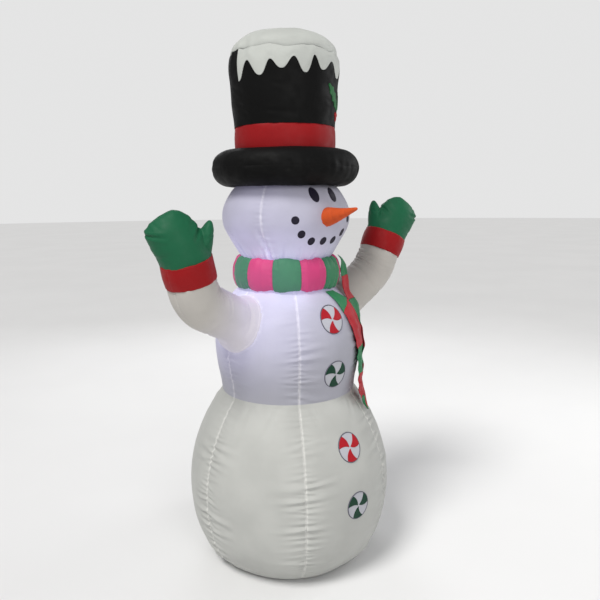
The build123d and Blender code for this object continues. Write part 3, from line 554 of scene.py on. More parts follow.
def grid_faces(rows, cols, wrap=False, wrap_rows=False, keep=None):
    """Quads of a grid of points, and the (row, column) of each quad's corners for its UVs."""
    i = np.arange(rows if wrap_rows else rows - 1)
    j = np.arange(cols if wrap else cols - 1)
    i, j = [x.ravel() for x in grid(i, j)]
    corners = [(i, j), (i, j + 1), (i + 1, j + 1), (i + 1, j)]
    faces = np.stack([(a % rows) * cols + (b % cols) for a, b in corners], 1)
    places = np.stack([np.stack([a, b], 1) for a, b in corners], 1)
    if keep is not None:
        ok = keep.ravel()[faces].any(1)
        faces, places = faces[ok], places[ok]
    return faces, places


def grid_piece(name, points, u, v, body, material, wrap=False, wrap_rows=False, keep=None, flip=False,
               **more):
    """A piece from a grid of points. u and v are the cloth's own coordinates of columns and rows."""
    rows, cols = points.shape[:2]
    faces, places = grid_faces(rows, cols, wrap, wrap_rows, keep)
    u, v = np.append(u, 2 * u[-1] - u[-2]), np.append(v, 2 * v[-1] - v[-2])
    uvs = np.stack([u[places[..., 1]], v[places[..., 0]]], -1)
    if flip:
        faces, uvs = faces[:, ::-1], uvs[:, ::-1]
    return make_piece(name, points.reshape(-1, 3), faces, body, material, uvs=uvs, **more)


def skin_piece(name, surface, beta, s, body, material, seams=None, snap=None, marks=None, **more):
    """The cloth of a surface of revolution over the given columns and rows."""
    ss, bb = grid(s, beta)
    points = surface.at(ss, bb)
    r = np.interp(ss, surface.s, surface.q[:, 0])
    values = dict(marks or {})
    if seams is not None:
        d = np.abs(seams.gap(bb, r)[0])
        values.setdefault("seam", seam_band(d))
        values.setdefault("stitch", d)
        values.setdefault("along", ss)
    points, keep = snap(points) if snap else (points, None)
    return grid_piece(name, points, beta * np.mean(r), s, body, material, wrap=True, keep=keep,
                      marks=values, **more)


def thick_patch(name, place, boundary, body, material, lift=1.0, stitch_in=2.6):
    """A sewn-on patch: a star-shaped outline in (u, z), laid on a surface by place(u, z, lift)."""
    rings = 10
    c = np.mean(boundary, 0)
    size = np.linalg.norm(boundary - c, axis=1).mean()
    inner = np.linspace(0.02, 1 - 1.1 / size, rings)
    shares = np.concatenate([inner, [1 - 0.5 / size, 1.0, 1.0]])
    lifts = np.concatenate([np.full(rings, lift), [lift * 0.85, lift * 0.45, -0.4]])
    flat = c + shares[:, None, None] * (boundary - c)[None]
    points = place(flat[..., 0], flat[..., 1], lifts[:, None] * np.ones(len(boundary)))
    edge = np.concatenate([[0], np.cumsum(np.linalg.norm(np.diff(boundary, axis=0), axis=1))])
    gap = np.abs((1 - shares) * size - stitch_in)
    faces, _ = grid_faces(len(shares), len(boundary), wrap=True)
    points = points.reshape(-1, 3)
    spread = flat.reshape(-1, 2)
    uvs = spread[faces]
    hub = len(points)
    points = np.vstack([points, points[:len(boundary)].mean(0)])
    spread = np.vstack([spread, c])
    fan = [(hub, (j + 1) % len(boundary), j) for j in range(len(boundary))]
    next_x, next_y = np.roll(boundary, -1, axis=0).T
    area = 0.5 * np.sum(boundary[:, 0] * next_y - next_x * boundary[:, 1])
    order = 1 if area < 0 else -1
    rows = [tuple(f[::order]) for f in faces] + [f[::order] for f in fan]
    uv = np.concatenate([uvs[:, ::order].reshape(-1, 2), spread[np.array(fan)[:, ::order]].reshape(-1, 2)])
    marks = {"stitch": np.append(np.repeat(gap, len(boundary)), FAR),
             "along": np.append(np.tile(edge, len(shares)), 0.0)}
    return make_piece(name, points, rows, body, material, uvs=uv, marks=marks)


def joined(name, pieces, replaces):
    """Several new pieces of one material and body as one piece."""
    first = pieces[0]
    with bpy.context.temp_override(active_object=first, object=first, selected_objects=pieces,
                                   selected_editable_objects=pieces):
        bpy.ops.object.join()
    first.name = name
    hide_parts(*replaces)
    return first


# ---- finishes ----
make_camera()
make_studio()
WHITE = (180, 181, 177)
white_base = cloth("white_base_cloth", WHITE, (212, 212, 208), (186, 186, 182))
# The base, torso, head and sleeves are one white cloth. The torso's and head's darker, lavender-tinted whites
# paint shade and the lamps' glow into the colour, and the sleeves' lighter, warmer white is painted light.
white_torso = cloth("white_torso_cloth", (166, 166, 176), (206, 205, 210), (172, 171, 178), glow=0.36)
white_head = cloth("white_head_cloth", (170, 169, 182), (210, 209, 216), (172, 170, 180), glow=0.30)
white_sleeve = cloth("white_sleeve_cloth", (184, 180, 174), (210, 207, 200), (174, 170, 164), glow=0.34)
snow_cloth = cloth("snow_cloth", (190, 193, 188), (200, 203, 198), (198, 200, 196), crumple=0.0008)
black_cloth = cloth("black_hat_cloth", (9, 9, 9), (6, 6, 6), (14, 14, 14), rough=0.6, sheen=0.0, gloss=0.12)
band_cloth = cloth("red_band_cloth", (147, 11, 17), (120, 12, 18), (150, 30, 36))
cuff_cloth = cloth("red_cuff_cloth", (145, 7, 13), (140, 12, 18), (160, 30, 34))
mitten_cloth = cloth("green_mitten_cloth", (21, 92, 61), (16, 78, 50), (24, 86, 58))
# glow on the collar cloths adds a faint painted glow of the lamps inside
collar_green = cloth("green_collar_cloth", (41, 117, 73), (34, 96, 64), (40, 104, 72), glow=0.05)
collar_pink = cloth("pink_collar_cloth", (198, 46, 107), (160, 34, 80), (178, 46, 90), glow=0.05)
tail_green = cloth("green_tail_cloth", (36, 118, 74), (24, 90, 56), (28, 92, 60))
tail_red = cloth("red_tail_cloth", (173, 27, 40), (150, 24, 38), (160, 34, 44))
orange_cloth = cloth("orange_nose_cloth", (203, 82, 34), (190, 66, 22), (200, 76, 28), crumple=0.0005)
dot_cloth = cloth("dark_dot_cloth", (27, 22, 40), (30, 26, 44), (26, 22, 40))
swirl_red = cloth("red_swirl_cloth", (168, 20, 34), (150, 14, 26), (150, 20, 30))
swirl_green = cloth("green_swirl_cloth", (10, 58, 40), (8, 56, 36), (10, 60, 40))
outline_thread = cloth("outline_cloth", (92, 92, 104), (70, 70, 80), (50, 50, 60))
# glow on the button white adds a painted glow of the lamps inside
button_white = cloth("white_button_cloth", (180, 181, 188), (196, 196, 202), (164, 164, 172), glow=0.1)
holly_green = cloth("holly_leaf_cloth", (18, 96, 44), (10, 64, 28), (12, 60, 30))
berry_red = cloth("holly_berry_cloth", (176, 24, 26), (120, 12, 14), (120, 14, 16))
floor_cloth = cloth("floor_panel_cloth", (64, 66, 70), (50, 52, 56), (90, 92, 96), rough=0.66)
port_cloth = cloth("port_sleeve_cloth", (172, 173, 170), (204, 204, 200), (180, 180, 178))
placket_cloth = cloth("placket_cloth", (180, 181, 178), (206, 206, 202), (156, 156, 154))
strap_webbing = webbing("black_webbing", (30, 30, 32))
tape_webbing = webbing("zip_tape_webbing", (196, 196, 194))
tab_webbing = webbing("tab_webbing", (44, 45, 48))

black_plastic = plastic("black_moulded_plastic", (30, 31, 33))
zip_plastic = plastic("zip_plastic", (206, 206, 204), 0.35, 1400.0, 0.04)
slider_plastic = plastic("slider_plastic", (186, 187, 188), 0.32, 1400.0, 0.08)
inlet_plastic = plastic("inlet_plastic", (18, 18, 20), 0.3)
white_lead = plastic("white_lead_sheath", (214, 214, 210), 0.5, 700.0, 0.05)
motor_metal = metal("motor_can_steel", (168, 170, 174), 0.32, (1.0, 20.0, 1.0))
screw_metal = metal("zinc_screw_steel", (186, 188, 190), 0.28)
brass_metal = metal("grommet_brass", (206, 172, 96), 0.26)
bulb_glass = lamp_glass("lamp_cover")

FINISHES = {
    black_plastic: ["blower_housing_front", "blower_housing_rear", "blower_intake_grille",
                    "blower_outlet_guard", "blower_feet", "strap_buckle", "motor_mount",
                    "lamp_lead_socket", "led_sockets", "fan_impeller"],
    motor_metal: ["fan_motor"], screw_metal: ["blower_screws", "motor_shaft"],
    brass_metal: ["stake_grommets"], inlet_plastic: ["dc_inlet"], white_lead: ["led_cable"],
    bulb_glass: ["led_bulbs"], zip_plastic: ["zip_teeth", "zip_stops"],
    slider_plastic: ["zip_slider", "zip_pull"],
}
for finish_material, names in FINISHES.items():
    for node_name in names:
        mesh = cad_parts[node_name].data
        mesh.materials.clear()
        mesh.materials.append(finish_material)
        mesh.polygons.foreach_set("material_index", [0] * len(mesh.polygons))


# ---- base ball ----
def base_radius(z):
    """Radius of the upper half, before it draws in at the waist."""
    return BASE_R - BASE_DROP * ((z - BASE_MID_Z) / BASE_SPAN) ** 2


def base_table():
    a = np.linspace(-pi / 2, 0, 260)
    lower = np.stack([FOOT_R + (BASE_R - FOOT_R) * np.cos(a), BASE_MID_Z + (BASE_MID_Z - 1.6) * np.sin(a)], 1)
    z = np.linspace(BASE_MID_Z, WAIST_Z, 260)[1:]
    r = base_radius(z) - 2.8 * np.clip((z - 500) / 118, 0, 1) ** 2
    return with_length(np.concatenate([lower, np.stack([r, z], 1)]))


base_line = base_table()
BASE_SEAM = Seams(GORE_SEAMS, base_line[0][-1], 11, depth=3.7, reach=52, lobe=5.5, lobe_reach=38,
                  strength=([0, 40, 120, 420, 600, 720], [0.0, 0.5, 1.1, 1.15, 0.55, 0.4]))
BASE_FOLDS = [(-49, 590, -60, 475, 9, 2.2), (-22, 604, -12, 520, 8, 1.6), (-70, 600, -74, 520, 9, 1.8),
              (18, 606, 10, 540, 8, 1.6), (48, 600, 56, 500, 9, 2.0), (105, 604, 100, 500, 9, 2.0),
              (140, 606, 146, 530, 8, 1.8), (-125, 604, -120, 510, 9, 2.0), (-165, 606, -160, 530, 8, 1.6)]


def zip_frame():
    """Middle of the zip's flat, the direction up along it, and the direction out of it."""
    slope = atan2(2 * BASE_DROP * (ZIP_Z - BASE_MID_Z), BASE_SPAN ** 2)
    out, along = np.array([0, cos(slope), sin(slope)]), np.array([0, -sin(slope), cos(slope)])
    return np.array([0, base_radius(ZIP_Z), ZIP_Z]) - out * ZIP_SINK, along, out


ZIP_ORIGIN, ZIP_ALONG, ZIP_OUT = zip_frame()


def base_offset(s, beta, r, z):
    out = BASE_SEAM.offset(s, beta, r) + dents(about_axis(r, beta, z), (1.6, 150, 3), (0.5, 52, 4))
    from_waist = np.clip(WAIST_Z - z, 0, None)
    out += gathers(beta, from_waist, (62, 5, 1.5, 26), (30, 6, 1.8, 60))
    out += folds(beta, z, 300, BASE_FOLDS)
    out *= np.clip(from_waist / 9, 0, 1)
    six_sided = 0.5 - 0.5 * np.cos(6 * (beta - radians(30)))
    out -= 8.0 * six_sided * bell((z - 20) / 75)
    ripples = 4.5 * ring_noise(beta, 26, 7) * bell((z - 34) / 30)
    return (out + ripples) * np.clip((z - 1.5) / 26, 0, 1)


BASE = Round(base_line, base_offset)


def base_snap(points):
    """Sinks the skin under the placket's flat and opens it round the blower port."""
    behind = points[..., 1] > 0
    rel = points - ZIP_ORIGIN
    height = rel @ ZIP_OUT
    close = behind & (np.hypot(rel @ ZIP_ALONG, rel[..., 0]) < 130)
    sunk = np.where(close & (height > -1.0), -1.0 - np.clip(height + 1.0, 0, 2.0), height)
    points = points + (sunk - height)[..., None] * ZIP_OUT
    dx, dz = points[..., 0], points[..., 2] - BLOWER_Z
    gap = np.hypot(dx, dz)
    inside = behind & (gap < PORT_R)
    grow = np.where(inside, PORT_R / np.maximum(gap, 1), 1.0)
    points[..., 0], points[..., 2] = dx * grow, BLOWER_Z + dz * grow
    return points, ~inside


skin_piece("base_gores_skin", BASE, columns(GORE_SEAMS, 350), rows_of(BASE.length, 2.7), "body", white_base,
           seams=BASE_SEAM, snap=base_snap, replaces=["base_gores"], slot="white_cloth")


# ---- torso and head ----
def shoulder_of(arm):
    """Centre of an arm's shoulder ball."""
    return np.array([arm["side"] * SHOULDER[0], SHOULDER[1], SHOULDER[2]])


TORSO_SEAM = Seams(GORE_SEAMS, 460, 21, depth=3.0, reach=44, lobe=4.4,
                   strength=([0, 30, 70, 230, 300, 450], [0.4, 0.8, 1.2, 1.1, 0.35, 0.3]))
SHOULDERS = [shoulder_of(arm) for arm in ARMS.values()]


def torso_offset(s, beta, r, z):
    flat = about_axis(r, beta, z)
    low, high = np.clip(z - WAIST_Z, 0, None), np.clip(1010 - z, 0, None)
    out = TORSO_SEAM.offset(s, beta, r) + dents(flat, (1.3, 120, 23), (0.4, 45, 24))
    out += gathers(beta, low, (56, 25, 1.1, 22), (26, 26, 1.4, 50))
    out += gathers(beta, high, (48, 27, 2.0, 34), (22, 28, 1.8, 60))
    for c in SHOULDERS:
        gap = np.clip(np.linalg.norm(flat - c, axis=-1) - SHOULDER_R, 0, None)
        angle = np.arctan2(flat[..., 2] - c[2], flat[..., 1] - c[1])
        out += gathers(angle, gap, (40, 29, 1.5, 26), (17, 30, 1.5, 26))
    return out * np.clip(low / 9, 0, 1)


TORSO = Round(smooth_line(TORSO_LINE), torso_offset)


def torso_snap(points):
    """Cuts the armholes and draws their edges onto the sleeves' balls."""
    points, keep = points.copy(), np.ones(points.shape[:2], bool)
    for c in SHOULDERS:
        rel = points - c
        gap = np.linalg.norm(rel, axis=-1)
        edge = gap < SHOULDER_R + 4.5
        points[edge] = c + rel[edge] * ((SHOULDER_R - 1.2) / gap[edge])[:, None]
        keep &= gap >= SHOULDER_R + 1.5
    return points, keep


def torso_marks(beta, s):
    """Seam bands along the gores and beside the armholes."""
    ss, bb = grid(s, beta)
    points = TORSO.at(ss, bb)
    hole = np.min([np.linalg.norm(points - c, axis=-1) for c in SHOULDERS], axis=0) - SHOULDER_R
    d = np.abs(TORSO_SEAM.gap(bb, np.interp(ss, TORSO.s, TORSO.q[:, 0]))[0])
    band = np.maximum(seam_band(d), np.clip(0.9 - np.abs(hole - 3) / 5, 0, 0.7))
    return {"seam": band, "stitch": np.minimum(d, np.abs(hole - 6)), "along": ss}


beta, s = columns(GORE_SEAMS, 245), rows_of(TORSO.length, 2.6)
skin_piece("torso_gores_skin", TORSO, beta, s, "body", white_torso, seams=TORSO_SEAM, snap=torso_snap,
           marks=torso_marks(beta, s), replaces=["torso_gores"], slot="white_cloth")

HEAD_SEAM = Seams(HEAD_SEAMS, 380, 31, depth=1.7, reach=24, lobe=3.4,
                  strength=([0, 60, 140, 260, 380], [0.6, 1.2, 0.8, 0.7, 0.9]))
HEAD_FOLDS = [(-55, 1056, -65, 1196, 5, 13), (-67, 1056, -63, 1150, 5, 7), (-45, 1056, -41, 1146, 5, 7),
              (-92, 1056, -102, 1182, 5, 13), (-102, 1056, -114, 1158, 5, 9), (-80, 1056, -83, 1134, 5, 7),
              (-28, 1056, -24, 1132, 5, 6), (-8, 1056, -4, 1138, 5, 6), (12, 1056, 16, 1142, 5, 6),
              (34, 1056, 40, 1152, 5, 8), (58, 1056, 62, 1178, 5, 10), (80, 1056, 84, 1142, 5, 7),
              (110, 1056, 116, 1162, 5, 9), (140, 1056, 143, 1148, 5, 7), (166, 1056, 172, 1168, 5, 9),
              (-170, 1056, -176, 1148, 5, 7), (-140, 1056, -135, 1158, 5, 9)]


def head_offset(s, beta, r, z):
    out = HEAD_SEAM.offset(s, beta, r) + dents(about_axis(r, beta, z), (1.2, 110, 33), (0.35, 40, 34))
    out += gathers(beta, np.clip(z - NECK_Z, 0, None), (52, 35, 1.6, 18), (24, 36, 1.6, 38))
    out += gathers(beta, np.clip(HEAD_TOP_Z - z, 0, None), (44, 37, 1.2, 16))
    return out + folds(beta, z, 170, HEAD_FOLDS)


HEAD = Round(smooth_line(HEAD_LINE), head_offset)
skin_piece("head_panels_skin", HEAD,
           columns(HEAD_SEAMS, 200, edges=(1.3, 2.8, 4.8, 7.5, 11, *range(14, 220, 3))),
           rows_of(HEAD.length, 2.6), "body", white_head, seams=HEAD_SEAM, replaces=["head_panels"],
           slot="white_cloth")


# ---- scarf collar ----
collar_table = smooth_line(COLLAR_LINE, closed=True)
PATCH_EDGES = [COLLAR_START + 360 / COLLAR_PATCHES * i for i in range(COLLAR_PATCHES + 1)]
COLLAR_SEAM = Seams(PATCH_EDGES[:-1], collar_table[0][-1], 41,
                    spacing=12, depth=1.0, reach=12, lobe=3.0, lobe_reach=9)


def collar_offset(s, beta, r, z):
    top, bottom = bell((z - 1092) / 17), bell((z - 982) / 15)
    out = COLLAR_SEAM.offset(s, beta, r) + dents(about_axis(r, beta, z), (2.4, 58, 46), (1.3, 24, 47))
    out += top * (2.0 * ring_noise(beta, 60, 42) + 2.6 * ring_noise(beta, 27, 43))
    out += bottom * (1.8 * ring_noise(beta, 58, 44) + 2.2 * ring_noise(beta, 25, 45))
    out += 1.6 * ring_noise(beta, 84, 48) * bell((z - 1038) / 46)
    return out + 2.2 * ring_noise(beta, 132, 49) * (bell((z - 1078) / 20) + bell((z - 996) / 18))


COLLAR = Round(collar_table, collar_offset)


def collar_patch(k, material):
    """Patch k of the ring, with its columns closer together at both seams."""
    a, b = radians(PATCH_EDGES[k]), radians(PATCH_EDGES[k + 1])
    x = np.linspace(0, 1, 29)
    angle = a + (b - a) * (x - 0.24 / pi * np.sin(2 * pi * x))
    s = np.linspace(0, COLLAR.length, 120)[:-1]
    sm, bm = grid(s, angle)
    d = np.minimum(bm - a, b - bm) * COLLAR_R
    return grid_piece("collar_part", COLLAR.at(sm, bm), angle * COLLAR_R, s, "body", material, wrap_rows=True,
                      marks={"seam": np.clip(1 - d / 2.0, 0, 1), "stitch": np.abs(d - 3), "along": sm})


for colour, start, material, slot in (("green", 0, collar_green, "green_cloth"),
                                      ("red", 1, collar_pink, "pink_red_cloth")):
    patches = [collar_patch(k, material) for k in range(start, COLLAR_PATCHES, 2)]
    joined("scarf_collar_" + colour + "_cloth", patches, ["scarf_collar_" + colour])


# ---- hat ----
def brim_table(low, high):
    a = np.radians(np.linspace(low, high, 500))
    return with_length(np.stack([BRIM_R + BRIM_WIDE * np.cos(a), BRIM_Z + BRIM_HIGH * np.sin(a)], 1))


def brim_offset(edge_s):
    def offset(s, beta, r, z):
        d = np.abs(s - edge_s)
        flat = about_axis(r, beta, z)
        pinches = np.clip(ring_noise(beta, 70, 59), 0, 1) * 3.4 * bell((d - 11) / 8)
        out = gathers(beta, d, (92, 51, 2.25, 17), (47, 52, 2.25, 17)) - 1.3 * np.exp(-d / 5) - pinches
        inner = np.clip(1 - (r - 168) / 30, 0, 1)
        out += inner * 1.2 * (ring_noise(beta, 60, 53) + ring_noise(beta, 28, 54))
        return out + dents(flat, (1.5, 80, 55), (0.6, 30, 56))
    return offset


ring = circle(360)
for name, low, high in (("lower", -118.5, 0), ("upper", 0, 112)):
    table = brim_table(low, high)
    seam_s = table[0][-1] if low < 0 else 0.0
    surface = Round(table, brim_offset(seam_s))
    s = rows_of(surface.length, 2.4)
    ss, bb = grid(s, ring)
    skin_piece("hat_brim_" + name + "_cloth", surface, ring, s, "body", black_cloth,
               marks={"stitch": np.abs(ss - seam_s) + 0.2, "along": bb * 250},
               replaces=["hat_brim_" + name], slot="black_cloth")


def band_offset(s, beta, r, z):
    edge = np.clip(np.minimum(z - BAND_LOW_Z, BAND_TOP_Z - z), 0, None)
    share = np.clip((z - BAND_LOW_Z) / (BAND_TOP_Z - BAND_LOW_Z), 0, 1)
    out = 2.0 * np.sin(pi * share) - 1.6 * np.exp(-edge / 4)
    out += gathers(beta, edge, (64, 57, 0.9, 12))
    return out + dents(about_axis(r, beta, z) * [1, 1, 2.2], (0.9, 48, 58))


BAND = Round(smooth_line([(BAND_R, BAND_LOW_Z), (BAND_R + 0.2, 1480), (BAND_R, BAND_TOP_Z)]), band_offset)
s = rows_of(BAND.length, 2.4)
ss, bb = grid(s, ring)
skin_piece("hat_band_cloth", BAND, ring, s, "body", band_cloth,
           marks={"stitch": np.minimum(np.abs(ss - 3), np.abs(ss - 77)), "along": bb * 171},
           replaces=["hat_band"], slot="red_cloth")

CROWN_WRINKLES = [(-104, 1640, -70, 1600, 7, 1.6), (-60, 1560, -20, 1548, 6, 1.4),
                  (-96, 1585, -60, 1560, 6, 1.5), (-50, 1640, -25, 1625, 7, 1.2),
                  (10, 1600, 35, 1575, 6, 1.4), (-80, 1545, -100, 1590, 7, 1.4),
                  (80, 1560, 120, 1590, 7, 1.6), (150, 1540, 170, 1640, 7, 1.8),
                  (-150, 1540, -165, 1620, 7, 1.8)]


def rim_offset(beta, away):
    """The ripples that the wall and the top share beside their seam."""
    return gathers(beta, away, (58, 64, 1.8, 17), (25, 65, 2.4, 17)) - 2.5 * np.exp(-away / 6)


def rim_sway(points):
    """Lets the crown's top seam wander up and down."""
    angle, z = np.arctan2(points[..., 0], -points[..., 1]), points[..., 2]
    wave = 4.5 * ring_noise(angle, 21, 72) + 2.6 * ring_noise(angle, 47, 73)
    rise = wave * np.exp(-np.abs(z - RIM_Z) / 20) * np.clip((1815 - z) / 40, 0, 1)
    return points + rise[..., None] * UP


def sway_skin(points):
    return rim_sway(points), None


def crown_offset(s, beta, r, z):
    flat = about_axis(r, beta, z)
    out = dents(flat, (1.6, 90, 61)) + dents(flat * [1, 1, 0.6], (0.8, 34, 62))
    out += gathers(beta, np.clip(z - BAND_TOP_Z, 0, None), (60, 63, 1.3, 14))
    out += rim_offset(beta, np.clip(RIM_Z - z, 0, None))
    out -= 2.4 * np.exp(-np.abs(signed_angle(beta + pi)) * RIM_R / 8)
    return out + folds(beta, z, RIM_R, CROWN_WRINKLES)


CROWN = Round(smooth_line(CROWN_LINE), crown_offset)
s = rows_of(CROWN.length, 2.6)
ss, bb = grid(s, ring)
rear_gap = np.abs(bb - pi) * RIM_R
skin_piece("hat_crown_cloth", CROWN, ring, s, "body", black_cloth, snap=sway_skin,
           marks={"seam": np.clip(1 - rear_gap / 3, 0, 1), "stitch": np.abs(rear_gap - 4), "along": ss},
           replaces=["hat_crown_wall"], slot="black_cloth")


def top_table():
    a = np.radians(np.linspace(0, 89.97, 400))
    return with_length(np.stack([RIM_R * np.cos(a) ** 0.85, RIM_Z + TOP_HIGH * np.sin(a)], 1))


def top_offset(s, beta, r, z):
    out = rim_offset(beta, s) + 3.6 * ring_noise(beta, 30, 66) * bell((s - 26) / 16)
    out += 1.6 * ring_noise(beta, 15, 67) * bell((s - 40) / 26)
    return out + dents(about_axis(r, beta, z), (2.2, 62, 68), (0.8, 26, 69)) * np.clip(r / 40, 0, 1)


TOP = Round(top_table(), top_offset)
s = rows_of(TOP.length, 2.8)
ss, bb = grid(s, ring)
skin_piece("hat_top_cloth", TOP, ring, s, "body", snow_cloth, snap=sway_skin,
           marks={"seam": np.clip(1 - ss / 3, 0, 1), "stitch": np.abs(ss - 3.5), "along": bb * RIM_R},
           replaces=["hat_top_panel"], slot="white_cloth")


def drip_edge(degrees_):
    """Height of the wavy lower edge of the snow."""
    tips = np.array(DRIP_TIPS, float)
    middles = (tips[1:, 0] + tips[:-1, 0]) / 2
    knots = np.sort(np.concatenate([tips[:, 0], middles]))
    heights = np.interp(knots, tips[:, 0], tips[:, 1])
    heights[1::2] = DRIP_VALLEYS
    i = np.clip(np.searchsorted(knots, degrees_) - 1, 0, len(knots) - 2)
    t = (degrees_ - knots[i]) / (knots[i + 1] - knots[i])
    from_tip = np.where(i % 2 == 0, t, 1 - t)
    rise = (0.5 - 0.5 * np.cos(pi * from_tip)) ** 1.3
    tip, valley = np.where(i % 2 == 0, (heights[i], heights[i + 1]), (heights[i + 1], heights[i]))
    return tip + (valley - tip) * rise


def make_drips():
    """The snow that hangs down the crown's front, from the rim seam to its wavy edge."""
    around = np.linspace(DRIP_TIPS[0][0], DRIP_TIPS[-1][0], 369)
    near_edge = np.array([0.5, 1.2, 2.4, 4.0, 6.0, 8.5]) / TOP_HIGH
    up = np.concatenate([[0, 0], near_edge, np.linspace(0.14, 1.0, 26)])
    thick = np.concatenate([[-0.5, 0.6, 1.1], np.full(len(up) - 3, 1.3)])
    um, am = grid(up, around)
    edge = drip_edge(am)
    z = edge + um * (RIM_Z - edge)
    side = np.minimum(am - around[0], around[-1] - am) * 3.2
    lift = thick[:, None] * np.clip(side / 1.2, -0.3, 1)
    lift += 1.6 * np.clip(side / 20, 0, 1) * bell((um - 0.55) / 0.3)
    lift += dents(np.stack([am * 3, z, 0 * z], -1), (1.2, 30, 71)) * np.clip(um * 5, 0, 1)
    points = rim_sway(CROWN.at(CROWN.s_of(z), np.radians(am), lift))
    grid_piece("hat_snow_drips_cloth", points, np.radians(around) * 182, up * TOP_HIGH, "body", snow_cloth,
               marks={"stitch": np.abs(z - edge - 3.0), "along": am * 3.2},
               replaces=["hat_snow_drips"], slot="white_cloth")


make_drips()


crown_place = partial(CROWN.seen_from, 39)


def holly_outline(start, end, width, spikes=3):
    """A leaf with curved points along both sides."""
    a, b = np.array(start, float), np.array(end, float)
    along, size = (b - a), np.linalg.norm(b - a)
    side = np.array([-along[1], along[0]]) / size * width / 2
    out = []
    for sign, order in ((1, 1), (-1, -1)):
        t = np.linspace(0, 1, 46)[:-1] if order > 0 else np.linspace(1, 0, 46)[:-1]
        scallop = np.abs(np.sin(pi * (spikes + 1) * t)) ** 0.7
        w = np.sin(pi * t) ** 0.55 * (1.0 - 0.42 * scallop)
        out.append(a + t[:, None] * along + sign * w[:, None] * side)
    return np.concatenate(out)


leaves = [thick_patch("leaf", crown_place, holly_outline(p, q, 44), "body", holly_green, lift=1.6)
          for p, q in (((-76, 1648), (-3, 1574)), ((76, 1646), (3, 1574)))]
joined("holly_leaf_patches", leaves, ["holly_leaves"])


def disc(c, a, b=None):
    """Outline of a circle of radius a, or of an ellipse with half axes a and b."""
    angle = circle(48)
    return np.stack([c[0] + a * np.cos(angle), c[1] + (b or a) * np.sin(angle)], 1)


def berry_place(at_u, at_z):
    """Lays a patch on the crown as a low dome round a point."""
    def place(u, z, lift):
        dome = np.clip(1 - ((u - at_u) ** 2 + (z - at_z) ** 2) / 70, 0, 1)
        return crown_place(u, z, lift + 2.2 * dome)
    return place


berries = [thick_patch("berry", berry_place(u, z), disc((u, z), 8.4), "body", berry_red, lift=1.8,
                       stitch_in=1.4) for u, z in ((-9, 1559), (9, 1559), (0, 1546))]
joined("holly_berry_patches", berries, ["holly_berries"])


# ---- face ----
eyes = [thick_patch("eye", partial(HEAD.seen_from, 0), disc((u, 1296), 16.5, 23.5), "body", dot_cloth)
        for u in (-39, 39)]
joined("eye_patch_cloth", eyes, ["eye_patches"])
mouth = [(-31, 1217), (-25, 1172), (-14, 1148), (0, 1147), (14, 1148), (25, 1172), (31, 1217)]
dots = [thick_patch("dot", partial(HEAD.seen_from, azimuth), disc((0, z), 13), "body", dot_cloth)
        for azimuth, z in mouth]
joined("mouth_dot_cloth", dots, ["mouth_coals"])


def make_nose():
    """The stuffed carrot, sewn shut along its underside and bowed down a little at its tip."""
    tilt = radians(NOSE_TILT)
    out, up = np.array([0, -cos(tilt), sin(tilt)]), np.array([0, sin(tilt), cos(tilt)])
    side = np.array([1.0, 0, 0])
    t = np.linspace(-16, 147, 84)
    lengths, radii = np.array([(-16, 34), (0, 32), (12, 31), (40, 25.2), (79, 16.6), (110, 10.6), (135, 6.3),
                               (143, 4.6), (146.5, 2.4), (147, 0.3)]).T
    r = np.interp(t, lengths, radii)[:, None]
    angle = circle(96)
    tm, am = grid(t, angle)
    rng = np.random.default_rng(77)
    from_seam = signed_angle(am + pi / 2)
    off = -1.4 * bell(from_seam / 0.08)
    for place in rng.uniform(8, 128, 11):
        width, depth, turn_at = rng.uniform(2.2, 4.0), rng.uniform(0.3, 0.9), rng.uniform(0, 2 * pi)
        one_side = 0.5 + 0.5 * np.cos(am - turn_at)
        off += depth * groove(tm - place - 3 * np.sin(am + turn_at), width) * one_side
    off += gathers(am, np.abs(tm - 2), (26, 78, 1.6, 12))
    rr = r + off * np.clip(r / 14, 0.05, 1)
    bow = 2.5 * np.sin(pi * np.clip(tm / 146, 0, 1))
    start = np.array([0, -205.0, NOSE_Z])
    points = start + np.stack([rr * np.cos(am), rr * np.sin(am) - bow, tm], -1) @ np.array([side, up, out])
    gap = np.abs(from_seam) * r
    nose = grid_piece("carrot_nose_cloth", points, angle * 22, t, "body", orange_cloth, wrap=True, flip=True,
                      marks={"seam": np.clip(1 - gap / 1.8, 0, 1), "stitch": gap, "along": tm},
                      replaces=["carrot_nose"], slot="orange_cloth")


make_nose()


# ---- buttons ----
def arc_angles(points, radii):
    """Angle at each radius along the circle through three points given as (radius, degrees)."""
    xy = np.array([(r * cos(radians(a)), r * sin(radians(a))) for r, a in points])
    m = np.array([2 * (xy[1] - xy[0]), 2 * (xy[2] - xy[0])])
    c = np.linalg.solve(m, [xy[1] @ xy[1] - xy[0] @ xy[0], xy[2] @ xy[2] - xy[0] @ xy[0]])
    size = np.linalg.norm(xy[0] - c)
    ang = np.unwrap([atan2(*(p - c)[::-1]) for p in xy])
    a = np.linspace(ang[0], ang[2], 300)
    line = c + size * np.stack([np.cos(a), np.sin(a)], 1)
    rr, tt = np.hypot(line[:, 0], line[:, 1]), np.unwrap(np.arctan2(line[:, 1], line[:, 0]))
    order = np.argsort(rr)
    return np.interp(radii, rr[order], tt[order])


